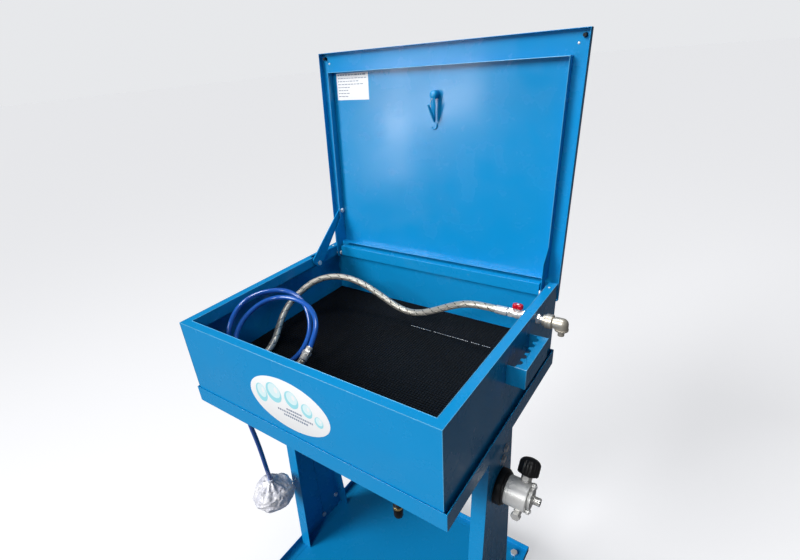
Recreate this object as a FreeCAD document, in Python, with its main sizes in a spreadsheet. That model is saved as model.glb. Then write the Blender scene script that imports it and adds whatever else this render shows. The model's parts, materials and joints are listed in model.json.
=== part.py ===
"""Parts washer tank: a steel tub with a hinged lid, on two channel legs over a wheeled base tray.

Frame: +Z up, floor at Z = 0, the user stands at -Y. The origin is on the floor under the middle of
the washer's outline with its lid open. Sizes are in millimetres. Places are written from the tub's
front left corner, and origin_x and origin_y move them into the frame.
"""
import FreeCAD, Part
import math
import os
import re
import Sketcher
from FreeCAD import Placement, Rotation, Vector

doc = FreeCAD.newDocument("parts_washer")

# ---------------------------------------------------------------- driving sizes
SIZES = {
    # frame
    "origin_x": 330.5,        # tub corner to the middle of the outline
    "origin_y": 264.2,
    # tub
    "tub_width": 600, "tub_depth": 494, "rim_height": 975, "tub_height": 198,
    "skin": 1.5,              # sheet of the tub and lid frame
    "rim_width": 18, "lip_drop": 26,
    "mouth_side": 14,         # gap in the back rim that each lid arm swings through
    # support band, legs and tray
    "band_height": 38, "band_side": 7, "band_front": 2.5, "band_skin": 2, "band_ledge": 30,
    "leg_inset": 8.5, "leg_flange": 32, "leg_skin": 2, "leg_top_half": 55, "leg_foot_half": 93,
    "tray_side": 1.5, "tray_front": 3, "tray_rear": 4, "tray_skin": 2, "tray_lip": 18,
    "tray_floor": 97,
    "beam_top": 718, "beam_height": 50, "beam_depth": 30, "beam_skin": 2,
    # lid
    "pivot_y": 478, "pivot_drop": 20, "lid_gap": 8, "lid_skin": 1.2, "lid_side": 2,
    "lid_tail": 21, "lid_lip": 13, "lid_tail_lip": 9, "lid_open": 92.9,
    "frame_inset": 25, "frame_front": 38, "frame_tail": 451, "frame_drop": 17, "arm_drop": 40,
    "arm_round": 12, "hinge_bolt": 3, "fit_gap": 0.05,
    # lid stay
    "stay_x": 20, "stay_skin": 2.5, "stay_width": 20, "stay_top_half": 6.3, "stay_brow": 16, "stay_reach": 111,
    "shoulder_back": 9, "shoulder_out": 3.5, "pin_y": 396, "pin_r": 3,
    # sieve, drain and gland
    "sieve_top": 845, "sieve_skin": 3, "drain_x": 484, "drain_y": 40, "gland_x": 50, "gland_y": 58,
    # solvent valve and inlet
    "valve_y": 372, "valve_drop": 20, "pipe_r": 6.5, "valve_r": 9.5,
    # tool holder
    "holder_front": 223, "holder_rear": 336, "holder_depth": 35, "holder_top": 941,
    "holder_height": 40, "holder_slot": 15,
    # pump
    "pump_y": 247, "pump_z": 621, "pump_base_r": 38, "pump_base_length": 18.5, "pump_r": 30,
    "pump_length": 45, "pump_tilt": 35, "knob_r": 21, "knob_x": 640,
    # casters
    "wheel_r": 37.5, "wheel_width": 24, "caster_inset": 31, "caster_trail": 24, "fork_gap": 30,
    # hoses
    "braid_d": 15, "blue_d": 11,
}
sheet = doc.addObject("Spreadsheet::Sheet", "Sizes")
for row, (alias, number) in enumerate(SIZES.items(), start=1):
    sheet.set("A%d" % row, alias.replace("_", " "))
    sheet.set("B%d" % row, str(number))
    sheet.setAlias("B%d" % row, alias)
doc.recompute()

# derived lengths, written once for use inside expressions
RIM = "rim_height"
PIVOT_Z = "(rim_height - pivot_drop)"
FLOOR_Z = "(rim_height - tub_height)"
BAND_Z = "(rim_height - tub_height - band_skin)"
PLATE_Z = "(rim_height + lid_gap)"
VALVE_Z = "(rim_height - valve_drop)"
WEB_RIGHT = "(tub_width - leg_inset)"

WORD = re.compile(r"[a-z][a-z_]*")
TURN = {"x": Rotation(Vector(0, 1, 0), 90), "y": Rotation(Vector(1, 0, 0), -90), "z": Rotation()}
parts = {}                    # node name -> finished object


def bound(text):
    """The expression with each alias written as the sheet's own."""
    return WORD.sub(lambda m: "Sizes." + m[0] if m[0] in SIZES else m[0], str(text))


def value(text):
    """The number that an expression of aliases comes to."""
    total = FreeCAD.Units.Quantity(sheet.evalExpression(bound(text)))
    return float(total.Value)


def put(thing, x, y, z):
    """Bind a placement to a point given from the tub's front left corner."""
    thing.setExpression("Placement.Base.x", bound("(%s) - origin_x" % x))
    thing.setExpression("Placement.Base.y", bound("(%s) - origin_y" % y))
    thing.setExpression("Placement.Base.z", bound(z))


def box(name, x, y, z):
    """A block between a low and a high expression along each axis."""
    thing = doc.addObject("Part::Box", name)
    for prop, (low, high) in zip(("Length", "Width", "Height"), (x, y, z)):
        thing.setExpression(prop, bound("(%s) - (%s)" % (high, low)))
    put(thing, x[0], y[0], z[0])
    return thing


def along(thing, axis, centre, start):
    """Turn a solid of revolution onto an axis and start it there."""
    thing.Placement = Placement(Vector(), TURN[axis])
    spot = dict(zip([a for a in "xyz" if a != axis], centre))
    spot[axis] = start
    put(thing, spot["x"], spot["y"], spot["z"])
    return thing


def rod(name, axis, centre, radius, start, end):
    """A cylinder along an axis; centre gives its other two coordinates."""
    thing = doc.addObject("Part::Cylinder", name)
    thing.setExpression("Radius", bound(radius))
    thing.setExpression("Height", bound("(%s) - (%s)" % (end, start)))
    return along(thing, axis, centre, start)


def taper(name, axis, centre, radii, start, end):
    """A cone frustum along an axis."""
    thing = doc.addObject("Part::Cone", name)
    thing.setExpression("Radius1", bound(radii[0]))
    thing.setExpression("Radius2", bound(radii[1]))
    thing.setExpression("Height", bound("(%s) - (%s)" % (end, start)))
    return along(thing, axis, centre, start)


def nut(name, axis, centre, flats, start, end):
    """A hexagonal prism, sized across its flats."""
    thing = doc.addObject("Part::Prism", name)
    thing.Polygon = 6
    thing.setExpression("Circumradius", bound("(%s) / 2 / cos(30)" % flats))
    thing.setExpression("Height", bound("(%s) - (%s)" % (end, start)))
    return along(thing, axis, centre, start)


def ball(name, x, y, z, radius):
    thing = doc.addObject("Part::Sphere", name)
    thing.setExpression("Radius", bound(radius))
    put(thing, x, y, z)
    return thing


def fuse(name, *pieces):
    thing = doc.addObject("Part::MultiFuse", name)
    thing.Shapes = list(pieces)
    thing.Refine = True
    return thing


def cut(name, base, *tools):
    thing = doc.addObject("Part::Cut", name)
    thing.Base = base
    thing.Tool = tools[0] if len(tools) == 1 else fuse(name + "_tools", *tools)
    return thing


def group(name, *pieces):
    thing = doc.addObject("Part::Compound", name)
    thing.Links = list(pieces)
    return thing


def outline_pad(name, corners, x_low, x_high):
    """A PartDesign body: a straight-sided outline in Y and Z, padded along X."""
    body = doc.addObject("PartDesign::Body", name)
    body.Placement.Base = Vector(-value("origin_x"), -value("origin_y"), 0)
    sketch = body.newObject("Sketcher::SketchObject", name + "_outline")
    plane = next(f for f in body.Origin.OriginFeatures if f.Role == "YZ_Plane")
    sketch.AttachmentSupport = [(plane, "")]
    sketch.MapMode = "FlatFace"
    sketch.setExpression("AttachmentOffset.Base.z", bound(x_low))
    spots = [Vector(value(y), value(z), 0) for y, z in corners]
    for here, there in zip(spots, spots[1:] + spots[:1]):
        sketch.addGeometry(Part.LineSegment(here, there))
    for side in range(len(corners)):
        following = (side + 1) % len(corners)
        sketch.addConstraint(Sketcher.Constraint("Coincident", side, 2, following, 1))
    for side, (y, z) in enumerate(corners):
        for kind, text in (("DistanceX", y), ("DistanceY", z)):
            rule = sketch.addConstraint(Sketcher.Constraint(kind, -1, 1, side, 1, value(text)))
            sketch.setExpression("Constraints[%d]" % rule, bound(text))
    pad = body.newObject("PartDesign::Pad", name + "_pad")
    pad.Profile = sketch
    pad.setExpression("Length", bound("(%s) - (%s)" % (x_high, x_low)))
    body.Tip = pad
    return body


def mirrored(expression):
    """The same place measured from the tub's right side."""
    return "tub_width - (%s)" % expression


def span(low, high, right):
    """A low-to-high pair along X, mirrored for the right side."""
    return (mirrored(high), mirrored(low)) if right else (low, high)


def keep(name, thing, lid=False):
    """Label a finished sub-part with its node name; lid parts are swung open about the hinge."""
    thing.Label = name
    parts[name] = thing
    if lid:
        pivot = Vector(0, value("pivot_y - origin_y"), value(PIVOT_Z))
        swing = Rotation(Vector(1, 0, 0), -value("lid_open"))
        thing.Placement = Placement(pivot - swing.multVec(pivot), swing)


# ---------------------------------------------------------------- tub
def make_tub():
    inner = ("skin", "tub_width - skin")
    inner_y = ("skin", "tub_depth - skin")
    shell = box("tub_block", (0, "tub_width"), (0, "tub_depth"), (FLOOR_Z, RIM))
    room = box("tub_room", inner, inner_y, (FLOOR_Z + " + skin", RIM + " - skin"))
    mouth = box("tub_mouth", ("rim_width", "tub_width - rim_width"),
                ("rim_width", "tub_depth - rim_width"), (RIM + " - 2 * skin", RIM + " + 1"))
    lips = []
    low = RIM + " - lip_drop"
    for right in (False, True):
        x = span("rim_width - skin", "rim_width", right)
        lips.append(box("lip_side_%d" % right, x, inner_y, (low, RIM)))
    for name, y in (("front", ("rim_width - skin", "rim_width")),
                    ("back", ("tub_depth - rim_width", "tub_depth - rim_width + skin"))):
        lips.append(box("lip_" + name, ("rim_width", "tub_width - rim_width"), y, (low, RIM)))
    body = fuse("tub_pressing", cut("tub_hollow", shell, room, mouth), *lips)

    openings = [box("stay_notch", ("6", "rim_width + 1"), ("380", "437"), (RIM + " - 8", RIM + " + 1"))]
    for right in (False, True):
        x = span("rim_width", "rim_width + mouth_side", right)
        y = ("tub_depth - rim_width - 4", "tub_depth - skin")
        openings.append(box("arm_mouth_%d" % right, x, y, (low + " - 1", RIM + " + 1")))
        x = span("rim_width - 3", "rim_width + 1", right)
        openings.append(rod("hinge_hole_%d" % right, "x", ("pivot_y", PIVOT_Z), "hinge_bolt + 0.2", *x))
    openings.append(rod("pin_hole", "x", ("pin_y", PIVOT_Z), "pin_r + 0.2", "rim_width - 3", "rim_width + 1"))
    openings.append(rod("nipple_hole", "x", ("valve_y", VALVE_Z), "pipe_r + 0.3",
                        "tub_width - rim_width - 1", "tub_width + 1"))
    for name, radius in (("drain", 11.3), ("gland", 7.3)):
        spot = (name + "_x", name + "_y")
        openings.append(rod(name + "_hole", "z", spot, radius, FLOOR_Z + " - 1", FLOOR_Z + " + 3"))
    keep("tub_shell", cut("tub", body, *openings))


def make_rim_lug():
    """Small bracket on the left wall, under the rim."""
    keep("rim_lug", box("lug", ("-16", "0"), ("240", "283"), (RIM + " - 20", RIM + " - 8")))


def make_band():
    """Proud band round the foot of the tub, with a ledge that the tub floor rests on."""
    x = ("-band_side", "tub_width + band_side")
    y = ("-band_front", "tub_depth + band_front")
    z = (BAND_Z, BAND_Z + " + band_height")
    block = box("band_block", x, y, z)
    room = box("band_room", ("-band_side + band_skin", "tub_width + band_side - band_skin"),
               ("-band_front + band_skin", "tub_depth + band_front - band_skin"),
               (BAND_Z + " + band_skin", BAND_Z + " + band_height + 1"))
    hole = box("band_hole", ("band_ledge", "tub_width - band_ledge"),
               ("band_ledge", "tub_depth - band_ledge"), (BAND_Z + " - 1", BAND_Z + " + 5"))
    corner = box("band_drain_gap", ("drain_x - 22", "drain_x + 22"), ("12", "drain_y + 22"),
                 (BAND_Z + " - 1", BAND_Z + " + band_skin + 1"))
    gland = box("band_gland_gap", ("gland_x - 22", "gland_x + 22"), ("24", "gland_y + 22"),
                (BAND_Z + " - 1", BAND_Z + " + band_skin + 1"))
    keep("support_band", cut("band", block, room, hole, corner, gland))


# ---------------------------------------------------------------- stand
def leg_edge(half_extra, sign):
    """Y of a leg's slanted edge at its top and its foot."""
    return ("tub_depth / 2 %s (leg_top_half%s)" % (sign, half_extra),
            "tub_depth / 2 %s (leg_foot_half%s)" % (sign, half_extra))


def make_leg(name, right):
    """A channel whose web faces outwards and whose flanges widen towards the foot."""
    low, high = "tray_floor", BAND_Z
    x = span("leg_inset", "leg_inset + leg_flange", right)
    front_top, front_foot = leg_edge("", "-")
    rear_top, rear_foot = leg_edge("", "+")
    outer = outline_pad(name + "_outer", [(front_foot, low), (rear_foot, low), (rear_top, high),
                                          (front_top, high)], *x)
    front_top, front_foot = leg_edge(" - leg_skin", "-")
    rear_top, rear_foot = leg_edge(" - leg_skin", "+")
    x = span("leg_inset + leg_skin", "leg_inset + leg_flange + 1", right)
    room = outline_pad(name + "_room", [(front_foot, low + " - 1"), (rear_foot, low + " - 1"),
                                        (rear_top, high + " - 3"), (front_top, high + " - 3")], *x)
    holes = [rod("%s_hole_%d" % (name, i), "x", (y, z), "4.2", *span("leg_inset - 1", "leg_inset + 4", right))
             for i, (y, z) in enumerate(BEAM_BOLTS + FOOT_BOLTS)]
    keep(name, cut(name + "_channel", outer, room, *holes))


BEAM_BOLTS = [("tub_depth / 2 + 23", "beam_top - 14"), ("tub_depth / 2 + 12", "beam_top - 34")]
FOOT_BOLTS = [("tub_depth / 2 + 72", "tray_floor + 52"), ("tub_depth / 2 + 8", "tray_floor + 24")]


def bolt(name, spot, head_start, head_end, tip, radius="4", flats="13"):
    """A hexagon-head bolt along X: its head lies between two places and its shank ends at tip."""
    head = nut(name + "_head", "x", spot, flats, *sorted((head_start, head_end), key=value))
    ends = sorted((head_end, tip), key=value)
    return fuse(name, head, rod(name + "_shank", "x", spot, radius, *ends))


def make_stand():
    make_leg("leg_left", False)
    make_leg("leg_right", True)

    inner_low, inner_high = "leg_inset + leg_skin", WEB_RIGHT + " - leg_skin"
    y = ("tub_depth / 2 + 2", "tub_depth / 2 + 2 + beam_depth")
    z = ("beam_top - beam_height", "beam_top")
    tube = box("beam_block", (inner_low, inner_high), y, z)
    bore = box("beam_bore", (inner_low + " + 4", inner_high + " - 4"),
               (y[0] + " + beam_skin", y[1] + " - beam_skin"), (z[0] + " + beam_skin", z[1] + " - beam_skin"))
    taps = [rod("beam_tap_%d%d" % (i, right), "x", spot, "4.2",
                *span("leg_inset", "leg_inset + leg_skin + 9", right))
            for i, spot in enumerate(BEAM_BOLTS) for right in (False, True)]
    keep("cross_beam", cut("beam", tube, bore, *taps))

    bolts = []
    for i, spot in enumerate(BEAM_BOLTS):
        for right in (False, True):
            places = ["leg_inset - 5", "leg_inset", "leg_inset + 10"]
            places = [mirrored(p) for p in places] if right else places
            bolts.append(bolt("beam_bolt_%d%d" % (i, right), spot, *places))
    keep("beam_bolts", group("beam_bolt_set", *bolts))

    cleats, bolts = [], []
    for right in (False, True):
        x = span("leg_inset - 3", "leg_inset", right)
        plate = box("cleat_%d" % right, x, ("tub_depth / 2 - 80", "tub_depth / 2 + 86"),
                    ("tray_floor", "tray_floor + 66"))
        holes = [rod("cleat_hole_%d%d" % (i, right), "x", spot, "4.2", x[0] + " - 1", x[1] + " + 1")
                 for i, spot in enumerate(FOOT_BOLTS)]
        cleats.append(cut("cleat_plate_%d" % right, plate, *holes))
        for i, spot in enumerate(FOOT_BOLTS):
            places = ["leg_inset + leg_skin + 5", "leg_inset + leg_skin", "leg_inset - 6"]
            places = [mirrored(p) for p in places] if right else places
            bolts.append(bolt("foot_bolt_%d%d" % (i, right), spot, *places))
    keep("foot_cleats", group("cleat_set", *cleats))
    keep("foot_bolts", group("foot_bolt_set", *bolts))


def make_tray():
    x = ("-tray_side", "tub_width + tray_side")
    y = ("-tray_front", "tub_depth + tray_rear")
    z = ("tray_floor - tray_skin", "tray_floor + tray_lip")
    block = box("tray_block", x, y, z)
    room = box("tray_room", (x[0] + " + tray_skin", x[1] + " - tray_skin"),
               (y[0] + " + tray_skin", y[1] + " - tray_skin"), ("tray_floor", z[1] + " + 1"))
    holes = [rod("tray_hole_" + where, "z", spot, "5.3", z[0] + " - 1", "tray_floor + 1")
             for where, spot in CASTERS.items()]
    keep("base_tray", cut("tray", block, room, *holes))


# ---------------------------------------------------------------- casters
NEAR_X, FAR_X = "caster_inset", "tub_width - caster_inset"
NEAR_Y, FAR_Y = "caster_inset - 3", "tub_depth - caster_inset + 4"
CASTERS = {"front_left": (NEAR_X, NEAR_Y), "front_right": (FAR_X, NEAR_Y),
           "rear_left": (NEAR_X, FAR_Y), "rear_right": (FAR_X, FAR_Y)}


def make_caster(where, spot):
    """A swivel fork that trails behind its kingpin, with a riveted axle, and its wheel."""
    x, y = spot
    axle_y = y + " + caster_trail"
    crown_top, crown_low = "tray_floor - tray_skin - 8.4", "tray_floor - tray_skin - 11.4"
    crown = box("crown_" + where, (x + " - fork_gap / 2 - 2.5", x + " + fork_gap / 2 + 2.5"),
                (y + " - 17", y + " + 17"), (crown_low, crown_top))
    sides = []
    for i, near in enumerate((x + " - fork_gap / 2 - 2.5", x + " + fork_gap / 2")):
        far = near + " + 2.5"
        sides.append(outline_pad("cheek_%s_%d" % (where, i),
                                 [(y + " - 17", crown_top), (axle_y + " - 9", "wheel_r - 4"),
                                  (axle_y + " + 9", "wheel_r - 4"), (y + " + 17", crown_top)],
                                 near, far))
        sides.append(rod("cheek_end_%s_%d" % (where, i), "x", (axle_y, "wheel_r"), "10.5", near, far))
    fork = cut("fork_cut_" + where, fuse("fork_" + where, crown, *sides),
               rod("king_hole_" + where, "z", spot, "5 + fit_gap", crown_low + " - 1", crown_top + " + 1"),
               rod("axle_hole_" + where, "x", (axle_y, "wheel_r"), "4", x + " - 30", x + " + 30"))
    ends = (x + " - fork_gap / 2 - 4.5", x + " + fork_gap / 2 + 4.5")
    axle = fuse("axle_" + where,
                rod("axle_pin_" + where, "x", (axle_y, "wheel_r"), "4", *ends),
                rod("axle_head_" + where, "x", (axle_y, "wheel_r"), "6.5", ends[0], ends[0] + " + 2"),
                rod("axle_rivet_" + where, "x", (axle_y, "wheel_r"), "6.5", ends[1] + " - 2", ends[1]))
    keep("caster_fork_" + where, group("fork_set_" + where, fork, axle))

    half = x + " %s wheel_width / 2"
    tyre = rod("tyre_" + where, "x", (axle_y, "wheel_r"), "wheel_r", half % "-", half % "+")
    hub = rod("hub_" + where, "x", (axle_y, "wheel_r"), "11", x + " - fork_gap / 2 + 0.6",
              x + " + fork_gap / 2 - 0.6")
    bore = rod("wheel_bore_" + where, "x", (axle_y, "wheel_r"), "4 + fit_gap", x + " - 20", x + " + 20")
    keep("caster_wheel_" + where, cut("wheel_" + where, fuse("wheel_body_" + where, tyre, hub), bore))


def make_casters():
    cups, bolts = [], []
    under = "tray_floor - tray_skin"
    for where, spot in CASTERS.items():
        cup = rod("cup_" + where, "z", spot, "22", under + " - 8", under)
        cups.append(cut("cup_cut_" + where, cup, rod("cup_hole_" + where, "z", spot, "5.3",
                                                     under + " - 9", under + " + 1")))
        head = nut("king_head_" + where, "z", spot, "17", "tray_floor", "tray_floor + 7")
        pin = rod("king_pin_" + where, "z", spot, "5", under + " - 16", "tray_floor + 7")
        foot = rod("king_foot_" + where, "z", spot, "8", under + " - 16", under + " - 11.8")
        bolts.append(fuse("king_" + where, head, pin, foot))
        make_caster(where, spot)
    keep("caster_cups", group("cup_set", *cups))
    keep("caster_bolts", group("king_set", *bolts))


# ---------------------------------------------------------------- lid, modelled shut and swung open
def make_lid():
    x = ("-lid_side", "tub_width + lid_side")
    y = ("-lid_side", "pivot_y + lid_tail")
    plate = box("lid_plate", x, y, (PLATE_Z, PLATE_Z + " + lid_skin"))
    lips = [box("lid_lip_front", x, (y[0], y[0] + " + lid_skin"), (PLATE_Z + " - lid_lip", PLATE_Z)),
            box("lid_lip_tail", x, (y[1] + " - lid_skin", y[1]), (PLATE_Z + " - lid_tail_lip", PLATE_Z))]
    for right in (False, True):
        lips.append(box("lid_lip_side_%d" % right, span("-lid_side", "-lid_side + lid_skin", right),
                        (y[0], "pivot_y"), (PLATE_Z + " - lid_lip", PLATE_Z)))
    keep("lid_panel", fuse("lid_pan", plate, *lips), lid=True)

    low = PLATE_Z + " - frame_drop"
    ring = box("frame_block", ("frame_inset", "tub_width - frame_inset"), ("frame_front", "frame_tail"),
               (low, PLATE_Z))
    room = box("frame_room", ("frame_inset + skin", "tub_width - frame_inset - skin"),
               ("frame_front + skin", "frame_tail - skin"), (low + " - 1", PLATE_Z + " + 1"))
    arms, holes = [], []
    deep = PLATE_Z + " - arm_drop"
    for right in (False, True):
        sheet_span = span("frame_inset", "frame_inset + skin", right)
        corners = [("pivot_y - 97", PLATE_Z), ("pivot_y - 97", low), ("pivot_y - 66", deep),
                   ("pivot_y", deep), ("pivot_y", PIVOT_Z + " + arm_round"),
                   ("frame_tail", PIVOT_Z + " + arm_round"), ("frame_tail", PLATE_Z)]
        arms.append(outline_pad("arm_%d" % right, corners, *sheet_span))
        arms.append(rod("arm_end_%d" % right, "x", ("pivot_y", PIVOT_Z), "arm_round", *sheet_span))
        wide = span("frame_inset - 2", "frame_inset + 4", right)
        holes.append(rod("arm_hole_%d" % right, "x", ("pivot_y", PIVOT_Z), "hinge_bolt + fit_gap", *wide))
    holes.append(rod("stay_hole", "x", STAY_TOP, "pin_r + 0.1", "frame_inset - 2", "frame_inset + 4"))
    frame = fuse("frame_sheet", cut("frame_ring", ring, room), *arms)
    keep("lid_frame", cut("frame", frame, *holes), lid=True)

    buffers = [taper("buffer_%d" % right, "z", (side, "9"), ("3", "4"), RIM + " + 0.3", PLATE_Z)
               for right, side in enumerate(("9", "tub_width - 9"))]
    keep("lid_buffers", group("buffer_set", *buffers), lid=True)

    x, y = "tub_width / 2 + 6", "pivot_y - 385"
    boss = rod("hook_boss", "z", (x, y), "8.5", PLATE_Z + " - 15", PLATE_Z)
    strap = outline_pad("hook_strap", [(y + " - 3", PLATE_Z + " - 17.5"), (y + " - 3", PLATE_Z + " - 15"),
                                       (y + " + 52", PLATE_Z + " - 6.5"), (y + " + 53.5", PLATE_Z + " - 9"),
                                       (y + " + 17", PLATE_Z + " - 35"), (y + " + 15.5", PLATE_Z + " - 33"),
                                       (y + " + 45", PLATE_Z + " - 11.5")],
                        x + " - 4.5", x + " + 4.5")
    keep("lid_hook", fuse("hook", boss, strap), lid=True)


STAY_TOP = ("pivot_y - stay_reach", PLATE_Z + " - 7")


def make_hinge():
    """Two bolts through the tub lip, each with a bush that keeps the lid arm off the lip."""
    spot = ("pivot_y", PIVOT_Z)
    bolts, bushes = [], []
    for right in (False, True):
        head = span("frame_inset + skin + 0.4", "frame_inset + skin + 4.6", right)
        foot = span("rim_width - skin - 5", "rim_width - skin", right)
        shank = span("rim_width - skin - 5", "frame_inset + skin + 4.6", right)
        bolts.append(fuse("hinge_bolt_%d" % right, nut("hinge_head_%d" % right, "x", spot, "10", *head),
                          nut("hinge_nut_%d" % right, "x", spot, "10", *foot),
                          rod("hinge_shank_%d" % right, "x", spot, "hinge_bolt", *shank)))
        tube = rod("bush_%d" % right, "x", spot, "6", *span("rim_width", "frame_inset - 0.4", right))
        bore = rod("bush_bore_%d" % right, "x", spot, "hinge_bolt + 0.1",
                   *span("rim_width - 1", "frame_inset + 1", right))
        bushes.append(cut("bush_cut_%d" % right, tube, bore))
    keep("hinge_bolts", group("hinge_bolt_set", *bolts))
    keep("hinge_bushes", group("bush_set", *bushes))


def strap(start, start_r, end, end_r, thick):
    """Flat bar with two round ends, drawn between two points of its own plane."""
    ahead = end - start
    slope = math.asin((start_r - end_r) / ahead.Length)
    ahead.normalize()
    across = Vector(-ahead.y, ahead.x, 0)
    left = across * math.cos(slope) + ahead * math.sin(slope)
    right = ahead * math.sin(slope) - across * math.cos(slope)
    corners = [start + left * start_r, end + left * end_r, end + right * end_r, start + right * start_r]
    bar = Part.Face(Part.makePolygon(corners + corners[:1])).extrude(Vector(0, 0, thick))
    return bar.fuse([Part.makeCylinder(start_r, thick, start), Part.makeCylinder(end_r, thick, end)])


def make_stay():
    """Flat bar from the open lid to a pin on the tub lip; its notch lets go of the pin as the lid shuts."""
    pivot = Vector(0, value("pivot_y"), value(PIVOT_Z))
    top = Vector(0, value(STAY_TOP[0]), value(STAY_TOP[1]))
    top = pivot + Rotation(Vector(1, 0, 0), -value("lid_open")).multVec(top - pivot)
    pin = Vector(0, value("pin_y"), value(PIVOT_Z))
    reach = top - pin
    lean = math.degrees(math.atan2(reach.z, reach.y))
    low, thick, half = value("stay_x"), value("stay_skin"), value("stay_width / 2")
    shift = Vector(-value("origin_x"), -value("origin_y"), 0)

    narrow = value("stay_top_half")
    foot, head = Vector(), Vector(reach.Length, 0, 0)
    brow = Vector(0, value("stay_brow"), 0)
    shoulder = Vector(reach.Length - value("shoulder_back"), value("shoulder_out"), 0)
    bar = strap(foot, half, head, narrow, thick)
    bar = bar.fuse([strap(foot, half, brow, half, thick), strap(brow, half, shoulder, narrow, thick),
                    strap(shoulder, narrow, head, narrow, thick)])
    hole = Part.makeCylinder(value("pin_r + fit_gap"), thick, Vector(reach.Length, 0, 0))
    width = value("pin_r + 0.5")
    notch = Part.makeCylinder(width, thick)
    way_out = Part.makeBox(40, 2 * width, thick, Vector(0, -width, 0))
    way_out.rotate(Vector(), Vector(0, 0, 1), -lean - 8)
    solid = bar.removeSplitter().cut([hole, notch, way_out])
    # the bar lies in local XY: X runs up the bar, Y points to its front edge, Z becomes the frame's X
    solid.Placement = Placement(Vector(low, pin.y, pin.z) + shift, Rotation(Vector(0, 1, 0), Vector(0, 0, 1),
                                Vector(1, 0, 0), "ZXY")) * Placement(Vector(), Rotation(Vector(0, 0, 1), lean))
    stay = doc.addObject("Part::Feature", "stay_bar")
    stay.Shape = solid
    keep("lid_stay", stay)

    spot = STAY_TOP
    rivet = fuse("stay_rivet_solid",
                 rod("stay_rivet_pin", "x", spot, "pin_r", "stay_x - 1.3", "frame_inset + skin + 2.6"),
                 rod("stay_rivet_foot", "x", spot, "5.5", "stay_x - 1.5", "stay_x - 0.3"),
                 rod("stay_rivet_collar", "x", spot, "6", "stay_x + stay_skin + 0.3", "frame_inset"),
                 taper("stay_rivet_head", "x", spot, ("6", "4"), "frame_inset + skin", "frame_inset + skin + 3"))
    keep("stay_rivet", rivet, lid=True)

    spot = ("pin_y", PIVOT_Z)
    keep("stay_pin", fuse("stay_pin_solid",
                          rod("stay_pin_shank", "x", spot, "pin_r", "rim_width - skin - 5", "frame_inset - 0.4"),
                          nut("stay_pin_nut", "x", spot, "10", "rim_width - skin - 5", "rim_width - skin"),
                          rod("stay_pin_collar", "x", spot, "6", "rim_width", "stay_x - 0.4"),
                          rod("stay_pin_head", "x", spot, "6", "stay_x + stay_skin + 0.4", "frame_inset - 0.4")))


# ---------------------------------------------------------------- sieve, drain and hose gland
def make_sieve():
    z = ("sieve_top - sieve_skin", "sieve_top")
    plate = box("sieve_plate", (6, "tub_width - 6"), (6, "tub_depth - 6"), z)
    hole = rod("sieve_hole", "z", ("gland_x", "gland_y"), "11", z[0] + " - 1", z[1] + " + 1")
    keep("sieve_tray", cut("sieve", plate, hole))
    low = "sieve_top - sieve_skin - 12"
    rails = []
    for name, y in (("front", ("skin", "14")), ("back", ("tub_depth - 14", "tub_depth - skin"))):
        block = box("rail_block_" + name, (8, "tub_width - 8"), y, (low, z[0]))
        gap = ("skin + 1.5", "15") if name == "front" else ("tub_depth - 15", "tub_depth - skin - 1.5")
        room = box("rail_room_" + name, (7, "tub_width - 7"), gap, (low + " - 1", z[0] + " - 1.5"))
        rails.append(cut("rail_" + name, block, room))
    keep("sieve_rails", group("rail_set", *rails))


def make_drain():
    spot = ("drain_x", "drain_y")
    ring = rod("drain_ring", "z", spot, "19", FLOOR_Z + " + skin", FLOOR_Z + " + 5")
    ring_bore = rod("drain_ring_bore", "z", spot, "11", FLOOR_Z, FLOOR_Z + " + 6")
    keep("drain_flange", cut("drain_ring_cut", ring, ring_bore))
    pipe = fuse("drain_pipe_solid",
                rod("drain_tube", "z", spot, "11", FLOOR_Z + " - 40", FLOOR_Z + " + 5"),
                nut("drain_nut", "z", spot, "30", FLOOR_Z + " - 9", FLOOR_Z),
                rod("drain_tail", "z", spot, "7", FLOOR_Z + " - 82", FLOOR_Z + " - 40"))
    bore = rod("drain_bore", "z", spot, "5", FLOOR_Z + " - 83", FLOOR_Z + " + 6")
    keep("drain_pipe", cut("drain_pipe_cut", pipe, bore))
    cap = rod("drain_cap_body", "z", spot, "9", FLOOR_Z + " - 96", FLOOR_Z + " - 66")
    socket = rod("drain_socket", "z", spot, "7 + fit_gap", FLOOR_Z + " - 82.4", FLOOR_Z + " - 65")
    keep("drain_cap", cut("drain_cap_cut", cap, socket))


def make_gland():
    """Bulkhead fitting: a hose pushes on above the tub floor and another below it."""
    spot = ("gland_x", "gland_y")
    keep("hose_gland", fuse("gland_solid",
                            rod("gland_tail", "z", spot, "7", FLOOR_Z + " - 24", FLOOR_Z + " + 22"),
                            nut("gland_nut_top", "z", spot, "20", FLOOR_Z + " + skin", FLOOR_Z + " + 9"),
                            nut("gland_nut_low", "z", spot, "20", FLOOR_Z + " - 9", FLOOR_Z)))


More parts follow.
